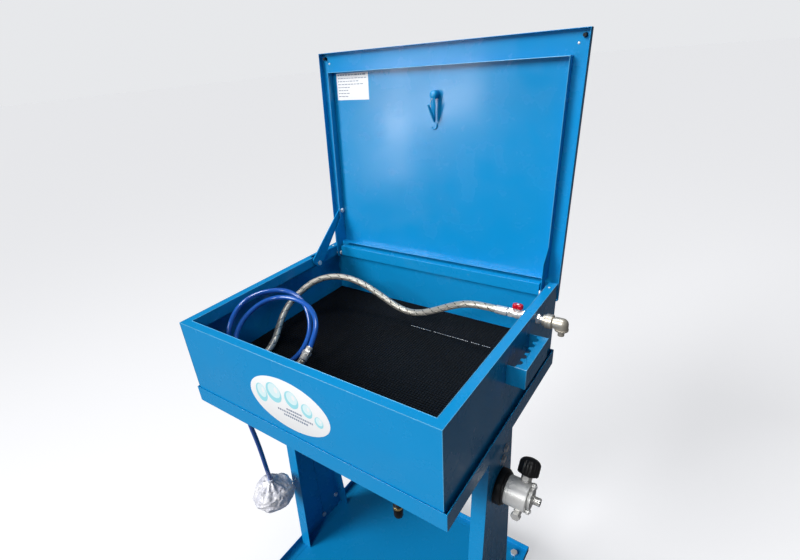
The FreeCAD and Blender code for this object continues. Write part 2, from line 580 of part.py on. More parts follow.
# ---------------------------------------------------------------- solvent inlet and valve
def make_inlet():
    spot = ("valve_y", VALVE_Z)
    wall, lip = "tub_width", "tub_width - rim_width"
    pipe = rod("nipple_pipe", "x", spot, "pipe_r", lip + " - 3.5", wall + " + 12")
    bore = rod("nipple_bore", "x", spot, "4", lip + " - 5", wall + " + 13")
    keep("wall_nipple", cut("nipple", pipe, bore))
    nuts = []
    for name, x in (("outer", (wall, wall + " + 6")), ("inner", (lip + " - 3", lip))):
        blank = nut("nut_blank_" + name, "x", spot, "18", *x)
        nuts.append(cut("nut_" + name, blank, rod("nut_bore_" + name, "x", spot, "pipe_r", *x)))
    keep("nipple_nuts", group("nipple_nut_set", *nuts))

    centre, left, right = lip + " - 20", lip + " - 36.5", lip + " - 3.5"
    body = fuse("valve_solid",
                nut("valve_hex_left", "x", spot, "17", left, left + " + 9"),
                nut("valve_hex_right", "x", spot, "17", right + " - 9", right),
                rod("valve_waist", "x", spot, "8.6", left + " + 6", right + " - 6"),
                ball("valve_bulb", centre, "valve_y", VALVE_Z, "valve_r"),
                rod("valve_neck", "z", (centre, "valve_y"), "4.5", VALVE_Z, VALVE_Z + " + 11.5"))
    rooms = [ball("valve_seat", centre, "valve_y", VALVE_Z, "6.5 + fit_gap"),
             rod("valve_bore", "x", spot, "4", left + " - 1", right + " + 1"),
             rod("valve_stem_bore", "z", (centre, "valve_y"), "2.5 + fit_gap", VALVE_Z, VALVE_Z + " + 12")]
    keep("valve_body", cut("valve", body, *rooms))

    plug = cut("plug_cut", ball("plug", centre, "valve_y", VALVE_Z, "6.5"),
               rod("plug_bore", "x", spot, "4", centre + " - 8", centre + " + 8"))
    stem = rod("stem", "z", (centre, "valve_y"), "2.5", VALVE_Z + " + 6", VALVE_Z + " + 12.2")
    keep("valve_ball", fuse("valve_ball_solid", plug, stem))
    z = (VALVE_Z + " + 12.2", VALVE_Z + " + 21.5")
    hub = rod("lever_hub", "z", (centre, "valve_y"), "6", *z)
    wings = [box("lever_wing_%d" % i, x, ("valve_y - 3.5", "valve_y + 3.5"), z)
             for i, x in enumerate(((centre + " - 10.5", centre), (centre, centre + " + 10.5")))]
    keep("valve_lever", fuse("lever", hub, *wings))

    keep("hose_ferrule", fuse("ferrule",
                              rod("ferrule_neck", "x", spot, "6.5", left + " - 3", left),
                              rod("ferrule_sleeve", "x", spot, "8.8", left + " - 27", left + " - 3")))

    keep("inlet_adapter", fuse("adapter",
                               rod("adapter_body", "x", spot, "11", wall + " + 12", wall + " + 17"),
                               rod("adapter_ring", "x", spot, "14", wall + " + 17", wall + " + 30"),
                               rod("adapter_neck", "x", spot, "10", wall + " + 30", wall + " + 34")))
    elbow_x = wall + " + 47"
    drop = (elbow_x, "valve_y")
    keep("inlet_elbow", fuse("elbow",
                             rod("elbow_run", "x", spot, "11.5", wall + " + 34", elbow_x),
                             ball("elbow_knee", elbow_x, "valve_y", VALVE_Z, "11.5"),
                             rod("elbow_drop", "z", drop, "11.5", VALVE_Z + " - 13", VALVE_Z),
                             rod("elbow_spigot", "z", drop, "6", VALVE_Z + " - 24", VALVE_Z + " - 13")))


def make_tool_holder():
    wall, outer = "tub_width", "tub_width + holder_depth"
    y, z = ("holder_front", "holder_rear"), ("holder_top - holder_height", "holder_top")
    skirt = box("holder_skirt", (outer + " - skin", outer), y, z)
    ends = [box("holder_end_front", (wall, outer), (y[0], y[0] + " + skin"), z),
            box("holder_end_back", (wall, outer), (y[1] + " - skin", y[1]), z)]
    top = box("holder_plate", (wall + " + holder_slot", outer), y, ("holder_top - skin", "holder_top"))
    bites = [rod("holder_bite_%d" % i, "z", (wall + " + holder_slot", "holder_front + %s" % (17 + 20 * i)), "7",
                 "holder_top - 5", "holder_top + 1") for i in range(5)]
    keep("tool_holder", cut("holder", fuse("holder_sheet", skirt, top, *ends), *bites))


# ---------------------------------------------------------------- pump on the right leg
def radial(name, kind, size, start, end):
    """A round or hexagonal piece standing out of the pump's side, up and to the rear."""
    tilt = value("pump_tilt")
    thing = doc.addObject("Part::Prism" if kind == "hex" else "Part::Cylinder", name)
    if kind == "hex":
        thing.Polygon = 6
        thing.setExpression("Circumradius", bound("(%s) / 2 / cos(30)" % size))
    else:
        thing.setExpression("Radius", bound(size))
    thing.setExpression("Height", bound("(%s) - (%s)" % (end, start)))
    thing.Placement = Placement(Vector(), Rotation(Vector(1, 0, 0), -tilt))
    reach = "(%s)" % start
    put(thing, "knob_x", "pump_y + %s * sin(pump_tilt)" % reach, "pump_z + %s * cos(pump_tilt)" % reach)
    return thing


def make_pump():
    spot = ("pump_y", "pump_z")
    base, start = WEB_RIGHT, WEB_RIGHT + " + pump_base_length"
    end = start + " + pump_length"
    keep("pump_base", fuse("pump_base_solid",
                           rod("pump_disc", "x", spot, "pump_base_r", base, start + " - 4"),
                           rod("pump_disc_step", "x", spot, "pump_base_r - 4", start + " - 4", start)))
    keep("pump_body", rod("pump_barrel", "x", spot, "pump_r", start, end))
    lobes = []
    screws = []
    for i, sign in enumerate(("+", "-")):
        y = "pump_y %s 25 * sin(pump_tilt)" % sign
        z = "pump_z %s 25 * cos(pump_tilt)" % sign
        lobes.append(rod("cap_lobe_%d" % i, "x", (y, z), "7", end, end + " + 6"))
        screws.append(nut("cap_screw_%d" % i, "x", (y, z), "7", end + " + 6", end + " + 9"))
    keep("pump_end_cap", fuse("cap", rod("cap_disc", "x", spot, "22", end, end + " + 6"), *lobes))
    keep("pump_cap_screws", group("cap_screws", *screws))
    tip = end + " + 22"
    keep("pump_inlet", cut("pump_inlet_cut",
                           fuse("pump_inlet_solid",
                                nut("pump_inlet_hex", "x", spot, "18", end + " + 6", end + " + 9"),
                                rod("pump_inlet_spigot", "x", spot, "8.5", end + " + 9", tip)),
                           rod("pump_inlet_bore", "x", spot, "5.5", end + " + 12", tip + " + 1")))
    keep("regulator_stem", fuse("regulator_stem_solid",
                                radial("stem_hex", "hex", "19", "pump_r - 3", "pump_r + 9"),
                                radial("stem_rod", "round", "4.5", "pump_r + 9", "pump_r + 34")))
    knob = fuse("knob_solid", radial("knob_grip", "round", "knob_r", "pump_r + 12", "pump_r + 47"),
                radial("knob_skirt", "round", "13", "pump_r + 9.6", "pump_r + 12"))
    keep("regulator_knob", cut("knob_cut", knob, radial("knob_bore", "round", "4.5 + fit_gap", "pump_r + 9.5",
                                                       "pump_r + 34.4")))
    flats = radial("outlet_hex", "hex", "15", "-pump_r - 4", "-pump_r + 2")
    elbow_y = "pump_y - (pump_r + 6) * sin(pump_tilt)"
    elbow_z = "pump_z - (pump_r + 6) * cos(pump_tilt)"
    turn = rod("outlet_turn", "y", ("knob_x", elbow_z), "6", elbow_y + " - 8", elbow_y)
    cap = nut("outlet_nut", "y", ("knob_x", elbow_z), "17", elbow_y + " - 14", elbow_y + " - 5")
    keep("pump_outlet", fuse("outlet", flats, ball("outlet_knee", "knob_x", elbow_y, elbow_z, "7.5"), turn, cap))


# ---------------------------------------------------------------- hoses and what is on them
# Routes run from the tub's front left corner, with height measured from the rim.
BRAID_ROUTE = [(518.5, 372, -20), (480, 373, -20), (438, 378, -31), (396, 385, -54), (350, 391, -80),
               (306, 395, -97), (262, 396, -93), (218, 394, -71), (172, 390, -48), (127, 383, -35),
               (87, 364, -31), (58, 333, -37), (43, 294, -53), (38, 257, -70), (44, 224, -86),
               (58, 196, -99), (73, 169, -110), (84, 139, -118), (88, 106, -122), (97, 73, -122),
               (121, 47, -122), (155, 36, -121), (189, 45, -116), (213, 71, -103), (224, 107.5, -82)]
COUPLING_END = (223.5, 133, -66)
BLUE_ROUTE = [COUPLING_END, (220, 155, -50), (205, 179, -33), (178, 197, -21), (145, 204, -14),
              (109, 204, -12), (75, 193, -14), (54, 167, -20), (46, 134, -31), (47, 101, -47),
              (59, 74, -67), (82, 58, -88), (109, 57, -102), (137, 70, -112), (161, 95, -115),
              (176, 127, -108), (181, 159, -91), (174, 189, -65), (151, 211, -37), (117, 222, -15),
              (81, 216, -5), (52, 193, -3), (35, 160, -4), (33, 124, -11), (38, 91, -30),
              (46, 68, -58), (50, 57, -93), (50, 58, -133), (50, 57.5, -176)]
DROP_ROUTE = [(50, 58, -222), (50, 59, -262), (51, 62, -306), (49, 68, -352), (44, 74, -398),
              (37, 80, -444), (28, 87, -488), (20, 94, -528)]
STRAINER_SPOT = (14, 99, -594)


def spot_of(point):
    """A route point in the frame."""
    x, y, down = point
    return Vector(x - value("origin_x"), y - value("origin_y"), value(RIM) + down)


def hose_path(name, route):
    """Straight runs joined by tangent arcs, each as large as its two runs allow."""
    spots = [spot_of(p) for p in route]
    edges, start, radii = [], spots[0], []
    for before, corner, after in zip(spots, spots[1:], spots[2:]):
        back, ahead = before - corner, after - corner
        turn = math.pi - back.getAngle(ahead)
        cut_back = 0.45 * min(back.Length, ahead.Length)
        radius = cut_back / math.tan(turn / 2)
        into = corner + back.normalize() * cut_back
        away = corner + ahead.normalize() * cut_back
        bisector = (back + ahead).normalize()
        middle = corner + bisector * (radius / math.cos(turn / 2) - radius)
        edges.append(Part.LineSegment(start, into).toShape())
        edges.append(Part.Arc(into, middle, away).toShape())
        start = away
        radii.append(round(radius))
    edges.append(Part.LineSegment(start, spots[-1]).toShape())
    wire = Part.Wire(edges)
    print(name, "length", round(wire.Length), "radii", radii)
    return wire, spots


def make_hose(name, route, diameter):
    wire, spots = hose_path(name, route)
    heading = spots[1] - spots[0]
    ring = Part.Wire(Part.Circle(spots[0], heading, diameter / 2).toShape())
    solid = wire.makePipeShell([ring], True, True)
    exact = math.pi * diameter ** 2 / 4 * wire.Length
    assert abs(solid.Volume - exact) < 0.01 * exact, (name, solid.Volume, exact)
    hose = doc.addObject("Part::Feature", name + "_tube")
    hose.Shape = solid
    keep(name, hose)


def between(start, end, radius):
    """A round solid from one route point to another."""
    low, high = spot_of(start), spot_of(end)
    return Part.makeCylinder(radius, (high - low).Length, low, high - low)


def make_hoses():
    make_hose("braided_hose", BRAID_ROUTE, value("braid_d"))
    make_hose("blue_hose_loop", BLUE_ROUTE, value("blue_d"))
    make_hose("blue_hose_drop", DROP_ROUTE, value("blue_d"))

    coupling = doc.addObject("Part::Feature", "coupling_solid")
    coupling.Shape = between(BRAID_ROUTE[-1], COUPLING_END, 9.5)
    keep("hose_coupling", coupling)

    x, y, down = STRAINER_SPOT
    top = spot_of(DROP_ROUTE[-1])
    neck = Part.makeCylinder(9, 16, top, spot_of(STRAINER_SPOT) - top)
    can = Part.makeCylinder(27, 62, spot_of((x, y, down - 34)))
    strainer = doc.addObject("Part::Feature", "strainer_solid")
    strainer.Shape = can.fuse(neck).removeSplitter()
    keep("suction_strainer", strainer)

    blob = doc.addObject("Part::Ellipsoid", "bag_blob")
    blob.Radius1, blob.Radius2, blob.Radius3 = 58, 60, 54
    blob.Placement = Placement(spot_of(STRAINER_SPOT), Rotation())
    keep("strainer_bag", cut("bag", blob, strainer))

    tie = doc.addObject("Part::Feature", "tie_solid")
    tie.Shape = between((27, 148, -594), (27, 168.5, -597), 1.6)
    keep("bag_tie", tie)


# ---------------------------------------------------------------- build, check and write
make_tub()
make_rim_lug()
make_band()
make_stand()
make_tray()
make_casters()
make_lid()
make_hinge()
make_stay()
make_sieve()
make_drain()
make_gland()
make_inlet()
make_tool_holder()
make_pump()
make_hoses()
doc.recompute()

failed = [o.Name for o in doc.Objects if "Invalid" in o.State or "Error" in o.State]
assert not failed, failed
for name, thing in parts.items():
    assert not thing.Shape.isNull() and thing.Shape.isValid(), name
    assert thing.Shape.Solids, name

os.makedirs("parts", exist_ok=True)
whole = FreeCAD.BoundBox()
for name, thing in parts.items():
    thing.Shape.exportStep("parts/%s.step" % name)
    if name not in ("braided_hose", "blue_hose_loop", "blue_hose_drop", "suction_strainer",
                    "strainer_bag", "bag_tie", "hose_coupling"):
        whole.add(thing.Shape.BoundBox)
print(len(parts), "parts; outline without hoses", whole)
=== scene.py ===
import json
import math
import random

import bmesh
import bpy
from mathutils import Matrix, Vector, noise


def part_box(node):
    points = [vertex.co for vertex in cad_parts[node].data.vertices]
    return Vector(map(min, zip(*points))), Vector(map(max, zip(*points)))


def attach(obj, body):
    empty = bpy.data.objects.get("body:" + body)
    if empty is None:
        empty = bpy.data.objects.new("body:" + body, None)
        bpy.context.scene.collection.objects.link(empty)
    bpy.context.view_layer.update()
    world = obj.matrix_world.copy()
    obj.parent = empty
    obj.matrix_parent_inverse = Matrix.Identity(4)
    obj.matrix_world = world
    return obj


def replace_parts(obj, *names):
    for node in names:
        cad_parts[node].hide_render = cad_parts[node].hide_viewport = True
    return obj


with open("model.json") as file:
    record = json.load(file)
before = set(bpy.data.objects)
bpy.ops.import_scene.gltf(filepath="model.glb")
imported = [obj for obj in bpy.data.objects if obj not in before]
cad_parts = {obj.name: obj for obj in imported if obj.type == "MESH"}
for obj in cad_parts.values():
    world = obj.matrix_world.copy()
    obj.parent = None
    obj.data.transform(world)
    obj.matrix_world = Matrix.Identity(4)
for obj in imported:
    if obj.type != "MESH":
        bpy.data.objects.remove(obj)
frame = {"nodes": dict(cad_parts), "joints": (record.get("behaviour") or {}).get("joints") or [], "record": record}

# The looks of a parts washer tank: its paint, metals, mat, stickers, hoses and small fittings.
# Lengths are in metres. MM turns a size that reads better in millimetres into metres, and at()
# and lid_point() take millimetres as well.
MM = 0.001
SHARP_ANGLE = math.radians(38)
CORNERS = ("front_left", "front_right", "rear_left", "rear_right")
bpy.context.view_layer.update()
TUB_LOW, TUB_HIGH = (Vector(c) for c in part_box("tub_shell"))
SIEVE_LOW, SIEVE_HIGH = (Vector(c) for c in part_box("sieve_tray"))


def at(x, y, z=0.0):
    """A place in millimetres from the tub's front left rim corner, so z is negative in the tub."""
    return Vector((TUB_LOW.x + x * MM, TUB_LOW.y + y * MM, TUB_HIGH.z + z * MM))


def joint(name):
    """The frame's entry for a joint."""
    return next(j for j in frame["joints"] if j["name"] == name)


# ---------------------------------------------------------------- materials
class Shader:
    """A Principled material with short calls for the nodes that drive it."""

    def __init__(self, name, colour, roughness, **plain):
        self.material = bpy.data.materials.new(name)
        self.material.use_nodes = True
        self.tree = self.material.node_tree
        self.bsdf = self.tree.nodes["Principled BSDF"]
        self.bsdf.inputs["Base Color"].default_value = (*colour, 1)
        self.bsdf.inputs["Roughness"].default_value = roughness
        for key, amount in plain.items():
            self.bsdf.inputs[key.replace("_", " ")].default_value = amount
        self.colour = colour
        self.place = self.node("ShaderNodeTexCoord").outputs["Object"]

    def node(self, kind, **settings):
        """A new node with its settings."""
        made = self.tree.nodes.new(kind)
        for key, amount in settings.items():
            setattr(made, key, amount)
        return made

    def link(self, source, target):
        """Join an output to an input."""
        self.tree.links.new(source, target)

    def noise(self, scale, detail=3.0):
        """Cloudy values from 0 to 1."""
        made = self.node("ShaderNodeTexNoise")
        made.inputs["Scale"].default_value = scale
        made.inputs["Detail"].default_value = detail
        self.link(self.place, made.inputs["Vector"])
        return made.outputs["Fac"]

    def wave(self, scale, axis, distortion=0.0):
        """Bands across an axis, from 0 to 1."""
        made = self.node("ShaderNodeTexWave", bands_direction=axis, wave_profile="SIN")
        made.inputs["Scale"].default_value = scale
        made.inputs["Distortion"].default_value = distortion
        self.link(self.place, made.inputs["Vector"])
        return made.outputs["Fac"]

    def spread(self, value, low, high, near=0.0, far=1.0):
        """The value mapped from near..far on to low..high."""
        made = self.node("ShaderNodeMapRange")
        ends = {"From Min": near, "From Max": far, "To Min": low, "To Max": high}
        for key, amount in ends.items():
            made.inputs[key].default_value = amount
        self.link(value, made.inputs["Value"])
        return made.outputs["Result"]

    def blend(self, value, first, second):
        """A colour that runs from first to second as the value runs from 0 to 1."""
        made = self.node("ShaderNodeMix", data_type="RGBA")
        self.link(value, made.inputs["Factor"])
        # sockets 6 and 7 are the two colours and output 2 is their mix
        for socket, colour in zip((made.inputs[6], made.inputs[7]), (first, second)):
            socket.default_value = (*colour, 1)
        return made.outputs[2]

    def paint(self, colour):
        """Drive the base colour."""
        self.link(colour, self.bsdf.inputs["Base Color"])

    def gloss(self, value):
        """Drive the roughness."""
        self.link(value, self.bsdf.inputs["Roughness"])

    def bump(self, height, strength, distance):
        """Add relief on top of any relief the material has already."""
        made = self.node("ShaderNodeBump")
        made.inputs["Strength"].default_value = strength
        made.inputs["Distance"].default_value = distance
        self.link(height, made.inputs["Height"])
        if self.bsdf.inputs["Normal"].links:
            self.link(self.bsdf.inputs["Normal"].links[0].from_socket, made.inputs["Normal"])
        self.link(made.outputs["Normal"], self.bsdf.inputs["Normal"])

    def mottled(self, amount, scale):
        """Slight uneven darkening of the base colour."""
        dark = tuple(c * (1 - amount) for c in self.colour)
        self.paint(self.blend(self.noise(scale), dark, self.colour))
        return self


def sheet_paint():
    """Glossy blue paint over sheet steel, a little wavy, with patches polished brighter."""
    made = Shader("blue_enamel", (0.004, 0.262, 0.59), 0.24, Coat_Weight=0.12, Coat_Roughness=0.13,
                  Specular_IOR_Level=0.32)
    made.mottled(0.08, 7)
    made.gloss(made.spread(made.noise(22, 5), 0.19, 0.3, 0.35, 0.65))
    patches = made.spread(made.noise(11, 3), 0.02, 0.34, 0.42, 0.66)
    made.link(patches, made.bsdf.inputs["Coat Weight"])
    made.bump(made.noise(420, 2), 0.12, 0.0002)
    made.bump(made.noise(9, 1), 0.1, 0.002)
    return made.material


def metal(name, colour, roughness, grain=900, metallic=1.0):
    """Plated or plain metal with fine scratches and uneven polish."""
    made = Shader(name, colour, roughness, Metallic=metallic).mottled(0.14, 60)
    made.gloss(made.spread(made.noise(grain, 4), roughness * 0.7, roughness * 1.35))
    made.bump(made.noise(grain, 3), 0.12, 0.0001)
    return made.material


def turned_aluminium():
    """Aluminium with fine turning marks along X."""
    made = Shader("turned_aluminium", (0.86, 0.86, 0.84), 0.4, Metallic=0.35)
    rings = made.wave(900, "X", 1.5)
    made.paint(made.blend(made.noise(40), (0.78, 0.78, 0.76), (0.9, 0.9, 0.88)))
    made.gloss(made.spread(rings, 0.34, 0.48))
    made.bump(rings, 0.12, 0.0001)
    return made.material


def moulded(name, colour, roughness, grain=700, shine=0.5):
    """Plastic, rubber or thick enamel with a fine grain."""
    made = Shader(name, colour, roughness, Specular_IOR_Level=shine).mottled(0.3, 50)
    made.gloss(made.spread(made.noise(120), roughness * 0.85, min(1, roughness * 1.15)))
    made.bump(made.noise(grain, 3), 0.2, 0.0003)
    return made.material


def hose_blue():
    """Shiny soft plastic tube."""
    made = Shader("blue_tube", (0.014, 0.105, 0.46), 0.16, Coat_Weight=0.5, Coat_Roughness=0.05)
    made.mottled(0.25, 25)
    made.gloss(made.spread(made.noise(70), 0.12, 0.26))
    made.bump(made.noise(300), 0.05, 0.0002)
    return made.material


def film():
    """Thin crinkled plastic film."""
    made = Shader("bag_film", (0.86, 0.87, 0.93), 0.3, Coat_Weight=0.35, Coat_Roughness=0.1,
                  Alpha=0.86)
    clouds = made.spread(made.noise(38, 4), 0, 1, 0.35, 0.68)
    made.paint(made.blend(clouds, (0.74, 0.75, 0.85), (0.96, 0.95, 0.97)))
    made.gloss(made.spread(made.noise(90), 0.22, 0.42))
    made.bump(made.noise(120, 4), 0.3, 0.0009)
    return made.material


def white_print(name, colour=(0.88, 0.89, 0.9)):
    """Smooth sticker paper or pale plastic."""
    made = Shader(name, colour, 0.32, Coat_Weight=0.3, Coat_Roughness=0.12).mottled(0.04, 30)
    made.bump(made.noise(300), 0.05, 0.0001)
    return made.material


MATERIALS = {
    "blue_paint": sheet_paint(),
    "zinc": metal("zinc_plate", (0.82, 0.83, 0.84), 0.3, metallic=0.4),
    "nickel": metal("nickel_plate", (0.88, 0.87, 0.84), 0.24, metallic=0.6),
    "aluminium": turned_aluminium(),
    "brass": metal("brass", (0.68, 0.48, 0.2), 0.26),
    "black_plastic": moulded("black_plastic", (0.012, 0.012, 0.013), 0.42),
    "black_mat": moulded("black_mat", (0.005, 0.006, 0.008), 0.45, 400, 0.25),
    "red_enamel": moulded("red_enamel", (0.62, 0.006, 0.02), 0.22, 300),
    "steel_braid": metal("steel_braid", (0.58, 0.56, 0.50), 0.36, 1400, 0.7),
    "blue_hose": hose_blue(),
    "mesh_steel": metal("mesh_steel", (0.5, 0.5, 0.5), 0.4),
    "bag_film": film(),
    "tie": white_print("tie_nylon", (0.82, 0.82, 0.8)),
    "tyre": moulded("tyre_rubber", (0.022, 0.022, 0.024), 0.7, 500),
}
# looks that no slot has by itself
OLD_NICKEL = metal("dull_nickel", (0.58, 0.54, 0.46), 0.38, metallic=0.6)
DARK_BRASS = metal("dark_brass", (0.035, 0.033, 0.03), 0.4, metallic=0.5)
GLOSS_BLACK = moulded("gloss_black", (0.004, 0.004, 0.005), 0.2, shine=0.2)
WEATHERED = {"inlet_elbow": OLD_NICKEL, "drain_pipe": DARK_BRASS}
# painted highlight: a lighter blue than the paint, for the thin lines where the sheet's folds catch the light
EDGE_HIGHLIGHT = moulded("painted_edge_highlight", (0.12, 0.46, 0.76), 0.25, 300)
WHITE = white_print("sticker_white")
AQUA = white_print("aqua_print", (0.32, 0.72, 0.80))
PALE_AQUA = white_print("pale_aqua_print", (0.70, 0.88, 0.91))
INK = moulded("grey_ink", (0.17, 0.22, 0.34), 0.5)
TRACER = moulded("tracer_thread", (0.02, 0.02, 0.02), 0.5, 1200)
STRAINER_FILLING = moulded("strainer_filling", (0.72, 0.76, 0.86), 0.6, 200)


# ---------------------------------------------------------------- mesh helpers
def mesh_piece(name, mesh, slot, body="stand", material=None, smooth=True):
    """Turn a mesh into a finished piece that rides on a body."""
    piece = bpy.data.objects.new(name, mesh)
    bpy.context.scene.collection.objects.link(piece)
    mesh.materials.append(material or MATERIALS[slot])
    if smooth:
        mesh.shade_smooth()
        mesh.set_sharp_from_angle(angle=SHARP_ANGLE)
    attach(piece, body)
    return piece


def from_bmesh(name, bm):
    """A mesh of what has been added, with its faces turned outwards."""
    bmesh.ops.recalc_face_normals(bm, faces=bm.faces)
    mesh = bpy.data.meshes.new(name)
    bm.to_mesh(mesh)
    bm.free()
    return mesh


def pointing(direction, start):
    """A frame whose Z looks along a direction, from a start point."""
    turn = Vector(direction).to_track_quat("Z", "Y").to_matrix().to_4x4()
    return Matrix.Translation(start) @ turn


def bridge(bm, rings):
    """Add the faces between each ring of points and the next one, and return them."""
    faces = []
    count = len(rings[0])
    for low, high in zip(rings, rings[1:]):
        for k in range(count):
            after = (k + 1) % count
            faces.append(bm.faces.new((low[k], low[after], high[after], high[k])))
    return faces


def close_ends(bm, rings):
    """Add a cap on the first and the last ring."""
    bm.faces.new(rings[0][::-1])
    bm.faces.new(rings[-1])


def add_lathe(bm, profile, place, sides=48, shape=None):
    """Add a closed solid of revolution: profile is (distance along Z, radius) pairs.

    shape(angle, radius) may change the radius round the axis, for flutes or flats."""
    rings = []
    for along, radius in profile:
        ring = []
        for k in range(sides):
            turn = math.tau * k / sides
            reach = shape(turn, radius) if shape else radius
            spot = Vector((reach * math.cos(turn), reach * math.sin(turn), along))
            ring.append(bm.verts.new(place @ spot))
        rings.append(ring)
    bridge(bm, rings)
    close_ends(bm, rings)


def lathe(name, profile, place, slot, body="stand", sides=48, shape=None, material=None):
    """A finished piece that is one solid of revolution."""
    bm = bmesh.new()
    add_lathe(bm, profile, place, sides, shape)
    return mesh_piece(name, from_bmesh(name, bm), slot, body, material)


def hexagonal(turn, radius):
    """A hexagon's reach at an angle, for a radius that is half its flats."""
    return radius / math.cos((turn + math.pi / 6) % (math.pi / 3) - math.pi / 6)


def scaled(profile):
    """A profile in millimetres turned into metres."""
    return [(along * MM, radius * MM) for along, radius in profile]


def rounded(length, radius, soft, start=0.0):
    """A bar's profile with softened rims."""
    end = start + length
    part = soft * 0.3
    return [(start, radius - soft), (start + part, radius - part), (start + soft, radius),
            (end - soft, radius), (end - part, radius - part), (end, radius - soft)]


def add_box(bm, low, high, soft=0.0):
    """Add a block, with its edges softened."""
    low, high = Vector(low), Vector(high)
    place = Matrix.Translation((low + high) / 2) @ Matrix.Diagonal((*(high - low), 1))
    made = bmesh.ops.create_cube(bm, size=1, matrix=place)
    if soft:
        edges = list({e for v in made["verts"] for e in v.link_edges})
        bmesh.ops.bevel(bm, geom=edges, offset=soft, segments=2, affect="EDGES", clamp_overlap=True)


def add_tube(bm, inner, outer, low, high, place, sides=48):
    """Add a ring with a square section."""
    corners = [(inner, low), (outer, low), (outer, high), (inner, high)]
    rings = []
    for k in range(sides):
        turn = math.tau * k / sides
        rings.append([bm.verts.new(place @ Vector((r * math.cos(turn), r * math.sin(turn), z)))
                      for r, z in corners])
    bridge(bm, rings + rings[:1])


def add_edge_line(bm, start, end, radius):
    """Add a thin round line, for a painted highlight along a fold."""
    profile = [(0, radius), ((end - start).length, radius)]
    add_lathe(bm, profile, pointing(end - start, start), 8)


def wire(name, points, radius, slot, body):
    """A thin round wire through points."""
    bm = bmesh.new()
    sides = 10
    rings = []
    for k, spot in enumerate(points):
        run = points[min(k + 1, len(points) - 1)] - points[max(k - 1, 0)]
        place = pointing(run, spot)
        rings.append([bm.verts.new(place @ Vector((radius * math.cos(math.tau * j / sides),
                                                   radius * math.sin(math.tau * j / sides), 0)))
                      for j in range(sides)])
    bridge(bm, rings)
    close_ends(bm, rings)
    return mesh_piece(name, from_bmesh(name, bm), slot, body)


def soften(node, width):
    """Rounded folds on a CAD part, without touching its mesh."""
    thing = frame["nodes"][node]
    weld = thing.modifiers.new("weld", "WELD")
    weld.merge_threshold = 0.01 * MM
    bevel = thing.modifiers.new("folds", "BEVEL")
    bevel.width = width
    bevel.segments = 2
    bevel.limit_method = "ANGLE"
    bevel.angle_limit = math.radians(50)
    bevel.harden_normals = False
    thing.modifiers.new("normals", "WEIGHTED_NORMAL")


# ---------------------------------------------------------------- CAD nodes
SHEET_NODES = ("tub_shell", "support_band", "base_tray", "lid_frame", "lid_panel", "tool_holder",
               "foot_cleats", "leg_left", "leg_right", "cross_beam", "lid_stay", "sieve_rails")
SMALL_NODES = ("beam_bolts", "foot_bolts", "hinge_bolts", "caster_bolts", "nipple_nuts", "stay_pin",
               "stay_rivet", "wall_nipple", "valve_body", "drain_pipe", "hose_gland",
               "pump_cap_screws", "pump_end_cap", "pump_outlet", "regulator_stem", "caster_cups",
               "drain_flange", "hinge_bushes", "inlet_elbow",
               *("caster_fork_" + corner for corner in CORNERS))
SHEET_FOLD = 0.55 * MM
SMALL_EDGE = 0.35 * MM


def dress_cad_nodes():
    """Give every CAD node its slot's material and soft edges."""
    for part in frame["record"]["subparts"]:
        thing = frame["nodes"][part["node"]]
        finish = MATERIALS[part["material_slot"]]
        if not thing.material_slots:
            thing.data.materials.append(finish)
        for slot in thing.material_slots:
            slot.material = WEATHERED.get(part["node"], finish)
    for node in SHEET_NODES:
        soften(node, SHEET_FOLD)
    for node in SMALL_NODES:
        soften(node, SMALL_EDGE)


# ---------------------------------------------------------------- hoses
# each route is a line of points for at(); the hose starts at the first one
BRAID_ROUTE = [(518.5, 372, -20), (480, 373, -20), (438, 378, -31), (396, 385, -54),
               (350, 391, -80), (306, 395, -97), (262, 396, -93), (218, 394, -71),
               (172, 390, -48), (127, 383, -35), (87, 364, -31), (58, 333, -37), (43, 294, -53),
               (38, 257, -70), (44, 224, -86), (58, 196, -99), (73, 169, -110), (84, 139, -118),
               (88, 106, -122), (97, 73, -122), (121, 47, -122), (155, 36, -121), (189, 45, -116),
               (213, 71, -103), (224, 107.5, -82)]
COUPLING_END = (223.5, 133, -66)
BLUE_ROUTE = [COUPLING_END, (220, 155, -50), (205, 179, -33), (178, 197, -21), (145, 204, -14),
              (109, 204, -12), (75, 193, -14), (54, 167, -20), (46, 134, -31), (47, 101, -47),
              (59, 74, -67), (82, 58, -88), (109, 57, -102), (137, 70, -112), (161, 95, -115),
              (176, 127, -108), (181, 159, -91), (174, 189, -65), (151, 211, -37), (117, 222, -15),
              (81, 216, -5), (52, 193, -3), (35, 160, -4), (33, 124, -11), (38, 91, -30),
              (46, 68, -58), (50, 57, -93), (50, 58, -133), (50, 57.5, -176)]
DROP_ROUTE = [(50, 58, -222), (50, 59, -262), (51, 62, -306), (49, 68, -352), (44, 74, -398),
              (37, 80, -444), (28, 87, -488), (20, 94, -528)]
STRAINER_SPOT = (14, 99, -594)
FLOOR_HOLE = (50, 58)
BRAID_WIDTH = 15 * MM
BLUE_WIDTH = 11 * MM


def hose_curve(name, route, width, slot):
    """A smooth round hose whose control points are its route, with the line it follows."""
    data = bpy.data.curves.new(name, "CURVE")
    data.dimensions = "3D"
    data.resolution_u = 10
    spline = data.splines.new("NURBS")
    spline.points.add(len(route) - 1)
    for point, spot in zip(spline.points, route):
        point.co = (*at(*spot), 1)
    spline.order_u = 3
    spline.use_endpoint_u = True
    piece = bpy.data.objects.new(name, data)
    bpy.context.scene.collection.objects.link(piece)
    # the bare curve's own points, taken before it gets its thickness
    path = bpy.data.meshes.new_from_object(piece)
    line = [v.co.copy() for v in path.vertices]
    bpy.data.meshes.remove(path)
    data.bevel_depth = width / 2
    data.bevel_resolution = 5
    data.use_fill_caps = True
    data.materials.append(MATERIALS[slot])
    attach(piece, "stand")
    return piece, line


